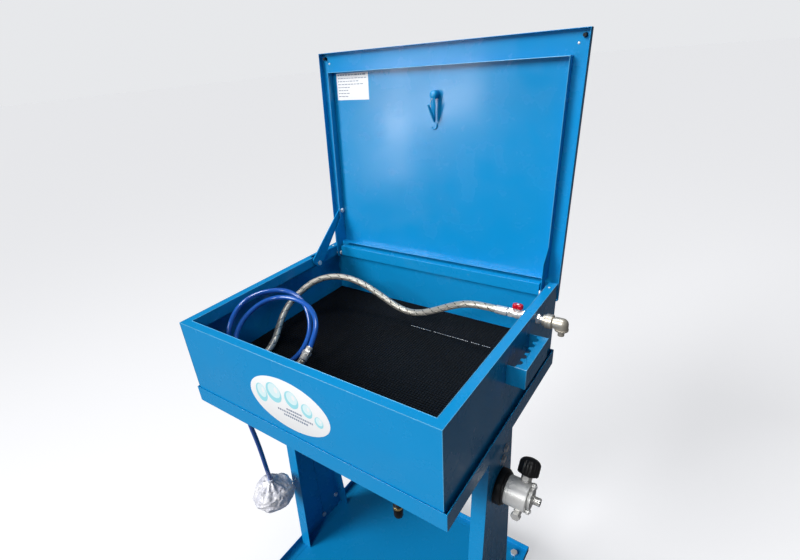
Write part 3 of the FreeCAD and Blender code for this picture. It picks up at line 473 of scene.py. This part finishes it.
def length_of(line):
    """The length of a line through points."""
    return sum((b - a).length for a, b in zip(line, line[1:]))


def walk(line, step):
    """Points about a step apart along a line, each with a tangent and a side that doesn't twist."""
    total = length_of(line)
    count = int(total / step)
    spots, reached, index = [], 0.0, 0
    for k in range(count + 1):
        wanted = total * k / count
        while index < len(line) - 2 and reached + (line[index + 1] - line[index]).length < wanted:
            reached += (line[index + 1] - line[index]).length
            index += 1
        stretch = line[index + 1] - line[index]
        spots.append(line[index] + stretch * min(1, (wanted - reached) / stretch.length))
    frames = []
    side = Vector((0, 0, 1))
    for k, spot in enumerate(spots):
        tangent = (spots[min(k + 1, count)] - spots[max(k - 1, 0)]).normalized()
        side = (side - tangent * side.dot(tangent)).normalized()
        frames.append((spot, tangent, side.copy()))
    return frames


def braid_strands(line):
    """Flat wire bundles wound both ways round the hose, each passing over two and under two."""
    per_way, lay, flat, thick = 12, 50 * MM, 2.6 * MM, 0.3 * MM
    weave, sunk, tracer_every = 0.2 * MM, 0.75 * MM, 6
    section = ((-1, 0), (-0.55, 1), (0.55, 1), (1, 0))
    frames = walk(line, 1.3 * MM)
    step = length_of(line) / (len(frames) - 1)
    crossing = lay / (2 * per_way)
    core = BRAID_WIDTH / 2 - sunk
    bm = bmesh.new()
    dark = []
    for way in (1, -1):
        for strand in range(per_way):
            rings = []
            for k, (spot, tangent, side) in enumerate(frames):
                along = k * step
                turn = math.tau * (strand / per_way + way * along / lay)
                out = side * math.cos(turn) + tangent.cross(side) * math.sin(turn)
                round_way = tangent.cross(out) * way
                across = (tangent - round_way * lay / (math.tau * core)).normalized()
                lift = way * weave * math.sin(math.tau * (along / crossing / 4 + strand / 4))
                base = spot + out * (core + thick + lift)
                rings.append([bm.verts.new(base + across * flat * u / 2 + out * thick * v)
                              for u, v in section])
            sides = bridge(bm, rings)
            if way == 1 and strand % tracer_every == 0:
                dark += sides
            close_ends(bm, rings)
    for face in dark:
        face.material_index = 1
    mesh = from_bmesh("braid_strands", bm)
    piece = mesh_piece("braid_strands", mesh, "steel_braid", smooth=False)
    mesh.materials.append(TRACER)
    mesh.shade_smooth()
    return piece


def make_hoses():
    """The three stretches of hose, each a cord with what it carries."""
    core, line = hose_curve("braided_hose_core", BRAID_ROUTE, BRAID_WIDTH - 1.0 * MM, "steel_braid")
    strands = braid_strands(line)
    coupling = make_coupling()
    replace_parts(core, "braided_hose")

    loop, line = hose_curve("blue_hose_looped", BLUE_ROUTE, BLUE_WIDTH, "blue_hose")
    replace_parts(loop, "blue_hose_loop")

    drop, line = hose_curve("blue_hose_lower", DROP_ROUTE, BLUE_WIDTH, "blue_hose")
    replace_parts(drop, "blue_hose_drop")
    bagged = make_strainer()


def make_coupling():
    """Hose union: a hexagon between two ribbed ferrules."""
    start, end = at(*BRAID_ROUTE[-1]), at(*COUPLING_END)
    length = (end - start).length
    place = pointing(end - start, start)
    bm = bmesh.new()
    ribs = [(0, 7.6)]
    for k in range(4):
        rib = 2.6 * k
        ribs += [(1.2 + rib, 8.6), (2.4 + rib, 8.6), (2.9 + rib, 8.0), (3.6 + rib, 8.0)]
    nut_start, nut_end, soft = 12 * MM, 21 * MM, 0.8 * MM
    add_lathe(bm, scaled(ribs), place)
    add_lathe(bm, rounded(nut_end - nut_start, 8.2 * MM, soft, nut_start), place, 48, hexagonal)
    add_lathe(bm, rounded(length - nut_end, 7.2 * MM, soft, nut_end), place)
    piece = mesh_piece("hose_union", from_bmesh("hose_union", bm), "nickel")
    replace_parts(piece, "hose_coupling")
    return piece


# ---------------------------------------------------------------- strainer in its bag
def make_strainer():
    """A ribbed can in a gathered bag, with a tie round the bag's neck."""
    x, y, z = STRAINER_SPOT
    top = at(*DROP_ROUTE[-1])
    core = at(x, y, z)
    can_foot, first_rib, rib_pitch = z - 36, z - 32, 6.5
    bm = bmesh.new()
    add_lathe(bm, rounded(62 * MM, 24 * MM, 3 * MM), pointing((0, 0, 1), at(x, y, can_foot)))
    for k in range(9):
        place = pointing((0, 0, 1), at(x, y, first_rib + rib_pitch * k))
        add_lathe(bm, rounded(1.6 * MM, 25 * MM, 0.6 * MM), place)
    add_lathe(bm, rounded(20 * MM, 9 * MM, 1 * MM), pointing(core - top, top))
    strainer = mesh_piece("strainer_can", from_bmesh("strainer_can", bm), "mesh_steel",
                          material=STRAINER_FILLING)
    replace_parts(strainer, "suction_strainer")

    bag = crumpled_bag(core + Vector((0, 0, 5 * MM)), top)
    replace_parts(bag, "strainer_bag")

    neck = top + (core - top).normalized() * 6 * MM
    collar = lathe("bag_neck_tie", scaled([(0, 7.0), (0.6, 8.2), (3.4, 8.2), (4, 7.0)]),
                   pointing(core - top, neck), "tie")
    tail = frame["nodes"]["bag_tie"]
    return [strainer, bag, collar, tail]


def crumpled_bag(core, top):
    """A film bag gathered at the hose: a sphere drawn up to a neck, with uneven folds."""
    creases = ((1.2, 0.11), (2.4, 0.055), (4.8, 0.03), (10.0, 0.014))
    half_sizes = 58, 59, 46
    pleat_count, pleat_depth = 11, 0.05
    neck_starts, neck_span, neck_radius = 0.9, 0.1, 10 * MM
    bm = bmesh.new()
    bmesh.ops.create_icosphere(bm, subdivisions=6, radius=1)
    neck_way = top - core
    for v in bm.verts:
        way = v.co.normalized()
        folds = 0.0
        for size, depth in creases:
            ridge = 1 - abs(noise.noise(way * size + Vector((size, 3, 7)))) * 2.2
            folds += depth * (ridge - 0.5)
        reach = 0.92 + folds
        gathered = max(0.0, way.dot(neck_way.normalized()))
        pleats = pleat_depth * math.sin(pleat_count * math.atan2(way.y, way.x)) * gathered ** 2
        body = Vector([a * half for a, half in zip(way, half_sizes)]) * MM * (reach + pleats)
        draw = max(0.0, (gathered - neck_starts) / neck_span) ** 1.6
        neck = neck_way * 0.8 + way * neck_radius
        v.co = core + body.lerp(neck, min(1, draw))
    piece = mesh_piece("crumpled_bag", from_bmesh("crumpled_bag", bm), "bag_film", smooth=False)
    piece.data.shade_smooth()
    return piece


# ---------------------------------------------------------------- sieve mat
MAT_PITCH = 6 * MM
MAT_RIB = 1.1 * MM
MAT_SKIN = 1.4 * MM
MAT_HOLE = 13 * MM


def add_mat_rib(bm, start, end, across):
    """Add a low roof-shaped rib; across is half its width."""
    rise = Vector((0, 0, SIEVE_HIGH.z - SIEVE_LOW.z - MAT_SKIN))
    corners = (-across, -across * 0.5 + rise, across * 0.5 + rise, across)
    ends = [[bm.verts.new(spot + corner) for corner in corners] for spot in (start, end)]
    bridge(bm, ends)
    close_ends(bm, ends)


def add_mat_rows(bm, along, across):
    """Add the ribs that run along one axis (0 or 1), each broken where it meets the hose's hole."""
    hole, height = at(*FLOOR_HOLE), SIEVE_LOW.z + MAT_SKIN
    first, last = SIEVE_LOW[across] + MAT_RIB, SIEVE_HIGH[across] - MAT_RIB
    start, end = SIEVE_LOW[along], SIEVE_HIGH[along]
    half_rib = Vector((0, 0, 0))
    half_rib[across] = MAT_RIB / 2
    count = int((last - first) / MAT_PITCH)
    for k in range(count + 1):
        place = first + (last - first) * k / count
        stretches = [(start, end)]
        if abs(place - hole[across]) < MAT_HOLE:
            half = math.sqrt(MAT_HOLE ** 2 - (place - hole[across]) ** 2)
            stretches = [(start, hole[along] - half), (hole[along] + half, end)]
        for near, far in stretches:
            near_end, far_end = Vector((0, 0, height)), Vector((0, 0, height))
            near_end[along], far_end[along] = near, far
            near_end[across] = far_end[across] = place
            add_mat_rib(bm, near_end, far_end, half_rib)


def make_mat():
    """Black mesh mat: crossing ribs on a thin backing, with an eyelet round the hose."""
    low, high, hole = SIEVE_LOW, SIEVE_HIGH, at(*FLOOR_HOLE)
    bm = bmesh.new()
    add_mat_rows(bm, 0, 1)
    add_mat_rows(bm, 1, 0)
    mat = mesh_piece("mesh_mat", from_bmesh("mesh_mat", bm), "black_mat", smooth=False)
    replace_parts(mat, "sieve_tray")

    bm = bmesh.new()
    top = low.z + MAT_SKIN
    left, right = hole.x - MAT_HOLE, hole.x + MAT_HOLE
    front, back = hole.y - MAT_HOLE, hole.y + MAT_HOLE
    for near, far in (((low.x, low.y), (left, high.y)), ((right, low.y), (high.x, high.y)),
                      ((left, low.y), (right, front)), ((left, back), (right, high.y))):
        add_box(bm, (*near, low.z), (*far, top))
    mesh_piece("mat_backing", from_bmesh("mat_backing", bm), "black_mat", smooth=False)

    bm = bmesh.new()
    place = Matrix.Translation((hole.x, hole.y, 0))
    add_tube(bm, 11 * MM, 19 * MM, low.z, high.z + 0.4 * MM, place)
    mesh_piece("mat_eyelet", from_bmesh("mat_eyelet", bm), "black_mat")
    make_staples()


def make_staples():
    """A broken row of wire staples across the mat."""
    bm = bmesh.new()
    random.seed(4)
    seam_y, top = at(0, 391).y, SIEVE_HIGH.z
    wide, deep, tall = 2.6 * MM, 1.2 * MM, 0.5 * MM
    for first, last in ((300, 352), (362, 446), (456, 474), (482, 500)):
        x = first
        while x < last:
            start = at(x, 0).x
            low, high = (start, seam_y, top), (start + wide, seam_y + deep, top + tall)
            add_box(bm, low, high, 0.15 * MM)
            x += random.uniform(3.6, 4.6)
    mesh_piece("mat_staples", from_bmesh("mat_staples", bm), "zinc")


# ---------------------------------------------------------------- stickers
def make_front_sticker():
    """Oval sticker on the front wall with water drops and rows of plain marks."""
    centre = at(289, 0, -92)
    half_wide, half_tall, skin = 99 * MM, 56 * MM, 0.25 * MM
    bm = bmesh.new()
    place = Matrix.Translation(centre) @ Matrix.Diagonal((half_wide, 1, half_tall, 1))
    upright = place @ Matrix.Rotation(math.pi / 2, 4, "X")
    add_lathe(bm, [(0, 1.0), (0.6 * skin, 1.0), (skin, 0.994)], upright, 96)
    mesh_piece("oval_sticker", from_bmesh("oval_sticker", bm), "tie", material=WHITE)

    face = centre.y - skin
    # each drop's place from the centre, across and up, and its half width and half height
    drops = [(-68, 4, 15, 21), (-33, 17, 20, 22), (12, 18, 17, 19), (47, 8, 13, 15),
             (73, -6, 10, 12)]
    for k, (x, z, wide, tall) in enumerate(drops):
        spot = Vector((centre.x + x * MM, face, centre.z + z * MM))
        water_drop("print_drop_%d" % k, spot, wide * MM, tall * MM)
    bm = bmesh.new()
    random.seed(11)
    tall, gap = 4.2, 1.6
    for start, end, foot in ((-6, 30, -11.2), (-30, 56, -19.2), (-16, 44, -27.2)):
        x = start
        while x < end:
            wide = random.uniform(2.2, 4.2)
            low = Vector((centre.x + x * MM, face - 0.08 * MM, centre.z + foot * MM))
            add_box(bm, low, low + Vector((wide * MM, 0.12 * MM, tall * MM)), 0.04 * MM)
            x += wide + gap
    mesh_piece("print_marks", from_bmesh("print_marks", bm), "tie", material=INK)


def flat_disc(name, spot, half_wide, half_tall, skin, material):
    """A thin printed oval on the front wall."""
    place = Matrix.Translation(spot) @ Matrix.Diagonal((half_wide, 1, half_tall, 1))
    bm = bmesh.new()
    add_lathe(bm, [(0, 1.0), (skin, 1.0)], place @ Matrix.Rotation(math.pi / 2, 4, "X"), 48)
    return mesh_piece(name, from_bmesh(name, bm), "tie", material=material, smooth=False)


def water_drop(name, spot, half_wide, half_tall):
    """A pale drop, darker at its foot, with a bright glint."""
    flat_disc(name, spot, half_wide, half_tall, 0.06 * MM, AQUA)
    inner = spot + Vector((half_wide * 0.1, -0.06 * MM, half_tall * 0.22))
    flat_disc(name + "_inside", inner, half_wide * 0.78, half_tall * 0.72, 0.04 * MM, PALE_AQUA)
    glint = spot + Vector((half_wide * 0.35, -0.10 * MM, half_tall * 0.35))
    flat_disc(name + "_glint", glint, half_wide * 0.22, half_tall * 0.3, 0.03 * MM, WHITE)


LID_LEAN = math.radians(2.9)
LID_FACE_BACK = 28


def lid_point(x, up, out):
    """A place on the open lid's inner face: across, up the face from the hinge, and out from it."""
    pivot = Vector(joint("lid_hinge")["pos_m"])
    upward = Vector((0, math.sin(LID_LEAN), math.cos(LID_LEAN)))
    outward = Vector((0, -math.cos(LID_LEAN), math.sin(LID_LEAN)))
    spot = Vector((at(x, 0).x, pivot.y, pivot.z))
    return spot + upward * up * MM + outward * (out - LID_FACE_BACK) * MM


def make_data_label():
    """Small white label near the lid's corner, with rows of plain marks."""
    across, upward = Vector((1, 0, 0)), lid_point(0, 1, 0) - lid_point(0, 0, 0)
    upward.normalize()
    outward = across.cross(upward)
    turn = Matrix((across, upward, outward)).transposed().to_4x4()
    place = Matrix.Translation(lid_point(37, 379, 0)) @ turn
    bm = bmesh.new()
    add_box(bm, (0, 0, 0), (93 * MM, 57 * MM, 0.25 * MM), 0.08 * MM)
    bm.transform(place)
    mesh_piece("data_label", from_bmesh("data_label", bm), "tie", "lid", WHITE)
    bm = bmesh.new()
    random.seed(3)
    margin, gap, top_row, row_pitch = 4, 2, 52, 6.4
    low, high = 0.2 * MM, 0.32 * MM
    for row, end in enumerate((84, 84, 60, 70, 40, 30, 36, 28)):
        x, foot = margin, top_row - row_pitch * row
        tall = 1.5 if row else 2.6
        while x < end:
            wide = random.uniform(3, 9)
            add_box(bm, (x * MM, foot * MM, low), ((x + wide) * MM, (foot + tall) * MM, high))
            x += wide + gap
    bm.transform(place)
    mesh_piece("label_marks", from_bmesh("label_marks", bm), "tie", "lid", INK)


# ---------------------------------------------------------------- small parts on the lid and rim
def make_hook():
    """Snap hook on the lid: a domed boss, a tapering strap that turns back, a gate and a ring."""
    x, boss_up = 306, 385
    outward = (lid_point(x, boss_up, 1) - lid_point(x, boss_up, 0)).normalized()
    bm = bmesh.new()
    dome = [(0, 8.5), (12.5, 8.5), (15, 7.8), (16.8, 6), (17.6, 3)]
    add_lathe(bm, scaled(dome), pointing(outward, lid_point(x, boss_up, 0)))
    # height up the lid, reach out from it, half width and half thickness
    stations = [(387, 15.5, 5.6, 1.3), (370, 14.5, 5.4, 1.3), (350, 11.5, 4.2, 1.3),
                (337, 8.8, 2.8, 1.3), (332.5, 8.5, 2.4, 1.2), (338, 13.5, 2.6, 1.1),
                (352, 23.0, 2.9, 1.1), (367, 34.0, 2.2, 1.1)]
    # the strap's section goes round from its lower left, with the edges half as thick
    section = ((-1, -1), (-0.7, -1), (0.7, -1), (1, -1), (1, 1), (0.7, 1), (-0.7, 1), (-1, 1))
    rings = []
    for k, (up, out, half, thick) in enumerate(stations):
        before, after = stations[max(k - 1, 0)], stations[min(k + 1, len(stations) - 1)]
        run = Vector((after[0] - before[0], after[1] - before[1])).normalized()
        ring = []
        for side, face in section:
            edge = 0.5 if abs(side) == 1 else 1.0
            lift = face * thick * edge
            spot = lid_point(x + side * half, up - run.y * lift, out + run.x * lift)
            ring.append(bm.verts.new(spot))
        rings.append(ring)
    bridge(bm, rings)
    close_ends(bm, rings)
    hook = mesh_piece("snap_hook", from_bmesh("snap_hook", bm), "blue_paint", "lid")
    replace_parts(hook, "lid_hook")
    gate = ((378, 17), (374, 23), (362, 24), (350, 20), (343, 15))
    wire("hook_gate", [lid_point(x - 1, up, out) for up, out in gate], 0.7 * MM, "nickel", "lid")
    ring_x, ring_up, ring_radius = 301, 324, 7
    arc = []
    for k in range(11):
        turn = math.radians(-150 + 18 * k)
        arc.append(lid_point(ring_x + ring_radius * math.cos(turn),
                             ring_up + ring_radius * math.sin(turn), 1.3))
    wire("hook_ring", arc, 1.5 * MM, "blue_paint", "lid")


def make_rivets():
    """Small domed rivets on the lid's border and on the rear rim."""
    dome = scaled([(0, 2.4), (0.5, 2.2), (1.0, 1.5), (1.2, 0.5)])
    outward = lid_point(0, 0, 1) - lid_point(0, 0, 0)
    for side, x in (("left", 18.5), ("right", 581.5)):
        place = pointing(outward, lid_point(x, 458, 0))
        lathe("lid_rivet_" + side, dome, place, "zinc", "lid", 24)
    for side, x in (("left", 9.5), ("right", 590.5)):
        lathe("rim_rivet_" + side, dome, pointing((0, 0, 1), at(x, 470)), "zinc", "stand", 24)


# ---------------------------------------------------------------- solvent valve and outer fitting
VALVE_SPOT = (562, 372, -20)


def butterfly(turn, radius):
    """Reach of the two-winged lever at an angle: 4.4 mm at its waist and 10.5 mm at its wings."""
    return radius * (4.4 + 6.1 * abs(math.cos(turn)) ** 1.6)


def make_valve():
    """The lever and its screw, the hose's ferrule and the fitting outside the wall."""
    x, y, z = VALVE_SPOT
    # the profile's second number multiplies the wings' reach
    wings = scaled([(0, 0.9), (0.7, 1), (6.5, 1), (8.4, 0.94), (9.2, 0.8)])
    lever = lathe("butterfly_lever", wings, pointing((0, 0, 1), at(x, y, z + 12.2)),
                  "red_enamel", "valve_lever", 72, butterfly)
    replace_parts(lever, "valve_lever")
    lathe("lever_screw", scaled([(0, 2.6), (0.5, 2.6), (0.8, 2.2)]),
          pointing((0, 0, 1), at(x, y, z + 21)), "zinc", "valve_lever", 24)

    sleeve = [(0, 7.7), (0.6, 8.8)]
    for k in range(3):
        start = 3.2 + 2.6 * k
        sleeve += [(start, 8.8), (start + 0.4, 8.3), (start + 1.0, 8.3), (start + 1.4, 8.8)]
    sleeve += [(23.3, 8.8), (24, 8.1), (24.1, 6.5), (27, 6.5)]
    ferrule = lathe("crimped_ferrule", scaled(sleeve), pointing((1, 0, 0), at(*BRAID_ROUTE[0])),
                    "nickel")
    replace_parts(ferrule, "hose_ferrule")

    ring = [(0, 10.2), (0.7, 11), (4.4, 11), (5, 10.4), (5.1, 13.2), (6, 14), (11, 14),
            (11.3, 13.5), (11.9, 13.5), (12.2, 14), (17, 14), (18, 13.2), (18.1, 10), (22, 10)]
    adapter = lathe("union_ring", scaled(ring), pointing((1, 0, 0), at(612, y, z)), "nickel",
                    sides=72, material=OLD_NICKEL)
    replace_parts(adapter, "inlet_adapter")
    lathe("elbow_collar", scaled([(0, 11.4), (0.5, 12.4), (3.4, 12.4), (4, 11.6)]),
          pointing((0, 0, -1), at(647, y, z - 9)), "nickel", material=OLD_NICKEL)


# ---------------------------------------------------------------- pump
PUMP_SPOT = (640, 247, -354)
LEFT_WEB, RIGHT_WEB = 8.5, 591.5
WEB_BOLTS = ((270, -271), (259, -291))


def fluted(turn, radius):
    """Finger grooves round the knob's rim, none near its middle."""
    grooves, deepest = 14, 1.5 * MM
    depth = deepest * min(1, max(0, radius / MM - 13) / 6)
    return radius - depth * (0.5 + 0.5 * math.cos(grooves * turn)) ** 2


def make_pump():
    """The pump's barrel, collar, ribbed inlet and knob, and the washers on the legs' webs."""
    x, y, z = PUMP_SPOT
    barrel = [(0, 29.2), (0.8, 30), (7, 30), (7.4, 29.4), (8.4, 29.4), (8.8, 30), (43.6, 30),
              (45, 28.8)]
    body = lathe("pump_barrel", scaled(barrel), pointing((1, 0, 0), at(610, y, z)), "aluminium",
                 sides=96)
    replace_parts(body, "pump_body")

    foot = [(0, 38), (2, 38), (2.4, 37), (4, 37), (4.4, 38), (12.5, 38), (14.5, 36.5), (14.6, 34),
            (17.6, 34), (18.5, 33)]
    base = lathe("pump_collar", scaled(foot), pointing((1, 0, 0), at(RIGHT_WEB, y, z)),
                 "black_plastic", sides=96)
    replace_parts(base, "pump_base")

    spigot = [(3, 7.4), (3.6, 8.5)]
    for k in range(6):
        rib = 1.5 * k
        spigot += [(4.2 + rib, 8.5), (4.7 + rib, 8.0), (5.2 + rib, 8.0), (5.6 + rib, 8.5)]
    spigot += [(15.4, 8.5), (16, 7.9), (16, 6), (15.5, 5.5), (6, 5.5)]
    bm = bmesh.new()
    place = pointing((1, 0, 0), at(661, y, z))
    add_lathe(bm, scaled([(0, 8.6), (0.4, 9), (2.6, 9), (3, 8.6)]), place, 48, hexagonal)
    add_lathe(bm, scaled(spigot), place)
    inlet = mesh_piece("pump_spigot", from_bmesh("pump_spigot", bm), "nickel")
    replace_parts(inlet, "pump_inlet")

    axis = Vector(joint("regulator_turn")["axis"])
    grip = [(0, 12), (0.5, 13), (2.4, 13), (2.6, 17), (3.4, 20.2), (5, 21), (24, 21), (28, 20.2),
            (32, 17.6), (35, 13), (36.8, 7), (37.3, 1)]
    foot = at(x, y, z) + axis * 39.6 * MM
    knob = lathe("domed_knob", scaled(grip), pointing(axis, foot), "black_plastic",
                 "regulator_knob", 112, fluted)
    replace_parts(knob, "regulator_knob")

    washer = scaled([(0, 8.6), (0.3, 9), (1.3, 9), (1.6, 8.6)])
    for side, web, way in (("left", LEFT_WEB, -1), ("right", RIGHT_WEB, 1)):
        for k, (bolt_y, bolt_z) in enumerate(WEB_BOLTS):
            place = pointing((way, 0, 0), at(web, bolt_y, bolt_z))
            lathe("web_washer_%s_%d" % (side, k), washer, place, "zinc", sides=32)


# ---------------------------------------------------------------- drain cap and casters
DRAIN_CAP_SPOT = (484, 40, -294)


def ribbed(turn, radius):
    """Fine grip ribs round a small cap."""
    ribs, deepest = 18, 0.5 * MM
    return radius - deepest * (0.5 + 0.5 * math.cos(ribs * turn))


def make_drain_cap():
    """A ribbed black cap with a brass ring near its top."""
    x, y, z = DRAIN_CAP_SPOT
    shape = [(0, 6), (1.0, 7.9), (3, 8.8), (21, 9), (22, 8.2), (29.5, 8.2), (30, 7.6)]
    cap = lathe("ribbed_drain_cap", scaled(shape), pointing((0, 0, 1), at(x, y, z)),
                "black_plastic", "drain_cap", 108, ribbed, GLOSS_BLACK)
    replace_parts(cap, "drain_cap")
    lathe("drain_cap_ring", scaled([(0, 8.2), (0.6, 9), (5.4, 9), (6, 8.2)]),
          pointing((0, 0, 1), at(x, y, z + 22.6)), "brass", "drain_cap")


def make_wheels():
    """Rubber tyres on dished rims with a ring of rivets."""
    tread = [(-12, 26), (-11.6, 32), (-10.5, 35.2), (-8, 36.8), (-4, 37.4), (0, 37.5), (4, 37.4),
             (8, 36.8), (10.5, 35.2), (11.6, 32), (12, 26)]
    rim = [(-14.3, 10), (-14.3, 11), (-11.4, 11.2), (-10.6, 13), (-10.4, 21), (-12.2, 24),
           (-12.6, 27), (12.6, 27), (12.2, 24), (10.4, 21), (10.6, 13), (11.4, 11.2), (14.3, 11),
           (14.3, 10)]
    rivet = scaled([(0, 2), (0.6, 1.8), (1.0, 1)])
    rivet_circle, rivet_out = 17 * MM, 10.3 * MM
    for corner in CORNERS:
        place = pointing((1, 0, 0), Vector(joint("roll_" + corner)["pos_m"]))
        tyre = lathe("tyre_" + corner, scaled(tread), place, "tyre", "wheel_" + corner, 96)
        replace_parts(tyre, "caster_wheel_" + corner)
        bm = bmesh.new()
        add_lathe(bm, scaled(rim), place, 72)
        for k in range(5):
            turn = math.tau * k / 5
            for side in (-1, 1):
                spot = place @ Vector((rivet_circle * math.cos(turn), rivet_circle * math.sin(turn),
                                       side * rivet_out))
                add_lathe(bm, rivet, pointing((side, 0, 0), spot), 20)
        name = "wheel_rim_" + corner
        mesh_piece(name, from_bmesh(name, bm), "zinc", "wheel_" + corner)


# ---------------------------------------------------------------- painted highlights on sheet edges
def make_painted_edge_highlights():
    """Thin lines of painted highlight along the folds of the rim, the walls, the tool holder and the lid's frame.
    """
    bm = bmesh.new()
    inner, wide, deep = 17.4, 600, 494
    outer_rim = [((0, 0, 0), (wide, 0, 0)), ((0, 0, 0), (0, deep, 0)),
                 ((wide, 0, 0), (wide, deep, 0))]
    inner_rim = [((inner, inner, 0), (wide - inner, inner, 0)),
                 ((inner, inner, 0), (inner, 380, 0)),
                 ((wide - inner, inner, 0), (wide - inner, deep - inner, 0))]
    holder = [((613, 223, -34), (635, 223, -34)), ((635, 223, -34), (635, 336, -34)),
              ((635, 223, -34), (635, 223, -72))]
    front_folds = [((0, 0, -1), (0, 0, -160)), ((wide, 0, -1), (wide, 0, -160))]
    for start, end in outer_rim + inner_rim + holder + front_folds:
        add_edge_line(bm, at(*start), at(*end), 0.55 * MM)
    mesh_piece("painted_edge_highlights", from_bmesh("painted_edge_highlights", bm), "blue_paint", material=EDGE_HIGHLIGHT)

    bm = bmesh.new()
    # painted highlight along the edges of the lid's frame
    frame_edge = ((26, 28), (26, 439), (574, 439), (574, 28))
    corners = [lid_point(x, up, 17.2) for x, up in frame_edge]
    for start, end in zip(corners, corners[1:]):
        add_edge_line(bm, start, end, 0.5 * MM)
    mesh_piece("painted_lid_edge_highlights", from_bmesh("painted_lid_edge_highlights", bm), "blue_paint", "lid", EDGE_HIGHLIGHT)


def make_rim_lug():
    """Rounded bracket that stands out under the left rim."""
    bm = bmesh.new()
    add_box(bm, at(-16, 240, -20), at(0, 283, -8), 2.5 * MM)
    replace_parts(mesh_piece("rim_bracket", from_bmesh("rim_bracket", bm), "blue_paint"), "rim_lug")


# ---------------------------------------------------------------- stage, light and camera
BACKDROP = (0.80, 0.81, 0.83)


def floor_paper():
    """Pale paper that throws little light back at the object."""
    made = Shader("floor_paper", (0.55, 0.55, 0.56), 0.8, Specular_IOR_Level=0.1,
                  Emission_Strength=1.0)
    made.bsdf.inputs["Emission Color"].default_value = (0.51, 0.515, 0.53, 1)
    dim = made.node("ShaderNodeBsdfDiffuse")
    dim.inputs["Color"].default_value = (0.2, 0.2, 0.21, 1)
    choice = made.node("ShaderNodeMixShader")
    # the camera sees the bright paper, and the object is lit by the dim one
    made.link(made.node("ShaderNodeLightPath").outputs["Is Camera Ray"], choice.inputs["Fac"])
    made.link(dim.outputs["BSDF"], choice.inputs[1])
    made.link(made.bsdf.outputs["BSDF"], choice.inputs[2])
    made.link(choice.outputs["Shader"], made.tree.nodes["Material Output"].inputs["Surface"])
    return made.material


def make_stage():
    """A pale floor that runs into a backdrop of the same tone."""
    floor_mesh = bpy.data.meshes.new("floor")
    reach = 60
    corners = [(-reach, -reach, 0), (reach, -reach, 0), (reach, reach, 0), (-reach, reach, 0)]
    floor_mesh.from_pydata(corners, [], [(0, 1, 2, 3)])
    floor = bpy.data.objects.new("floor", floor_mesh)
    bpy.context.scene.collection.objects.link(floor)
    floor_mesh.materials.append(floor_paper())

    world = bpy.data.worlds.new("studio")
    world.use_nodes = True
    tree = world.node_tree
    # the object is lit by the faint fill; only the camera sees the backdrop
    fill = tree.nodes["Background"]
    fill.inputs["Color"].default_value = (0.85, 0.92, 1.0, 1)
    fill.inputs["Strength"].default_value = 0.06
    seen = tree.nodes.new("ShaderNodeBackground")
    seen.inputs["Color"].default_value = (*BACKDROP, 1)
    choice = tree.nodes.new("ShaderNodeMixShader")
    direct = tree.nodes.new("ShaderNodeLightPath")
    tree.links.new(direct.outputs["Is Camera Ray"], choice.inputs["Fac"])
    tree.links.new(fill.outputs[0], choice.inputs[1])
    tree.links.new(seen.outputs[0], choice.inputs[2])
    tree.links.new(choice.outputs[0], tree.nodes["World Output"].inputs["Surface"])
    bpy.context.scene.world = world
    bpy.context.scene.view_settings.view_transform = "Standard"


def soft_light(name, place, target, size, power):
    """A white rectangular lamp at a place, turned to a target."""
    data = bpy.data.lights.new(name, "AREA")
    data.shape = "RECTANGLE"
    data.size, data.size_y = size
    data.energy = power
    lamp = bpy.data.objects.new(name, data)
    lamp.matrix_world = pointing(Vector(place) - Vector(target), place)
    bpy.context.scene.collection.objects.link(lamp)


def make_lights():
    """A broad sun from the front left, two boxes that glint in the lid, and two more lamps."""
    sun = bpy.data.lights.new("sun", "SUN")
    sun.energy = 2.75
    sun.angle = math.radians(28)
    lamp = bpy.data.objects.new("sun", sun)
    lamp.matrix_world = pointing((-0.43, -0.72, 0.54), (0, 0, 3))
    bpy.context.scene.collection.objects.link(lamp)
    soft_light("box_left", (-1.98, -2.45, 0.95), (0, 0, 1.2), (0.4, 0.5), 5)
    soft_light("box_front", (-1.65, -2.5, 1.4), (0, 0, 1.3), (0.9, 0.5), 13)
    soft_light("front", (0.22, -2.3, 2.5), (0.25, -0.1, 0.9), (0.5, 0.5), 22)
    soft_light("top", (0.05, 0.05, 3.2), (0.25, 0, 0.9), (0.35, 0.9), 26)


def make_camera():
    """The camera stands in front and to the right, above the rim, and looks down into the tub."""
    data = bpy.data.cameras.new("camera")
    data.lens = 20.87
    data.sensor_width = 36
    data.shift_x, data.shift_y = 0.0252, 0.0298
    data.clip_start = 0.01
    camera = bpy.data.objects.new("camera", data)
    right = Vector((0.8129, 0.5771, -0.0782))
    back = Vector((0.5409, -0.6984, 0.4687))
    turn = Matrix((right, back.cross(right), back)).transposed().to_4x4()
    camera.matrix_world = Matrix.Translation(at(828.5, -405.1, 441.5)) @ turn
    bpy.context.scene.collection.objects.link(camera)
    bpy.context.scene.camera = camera


make_camera()
make_hoses()
dress_cad_nodes()
make_mat()
make_front_sticker()
make_data_label()
make_hook()
make_rivets()
make_valve()
make_pump()
make_drain_cap()
make_wheels()
make_painted_edge_highlights()
make_rim_lug()
make_stage()
make_lights()
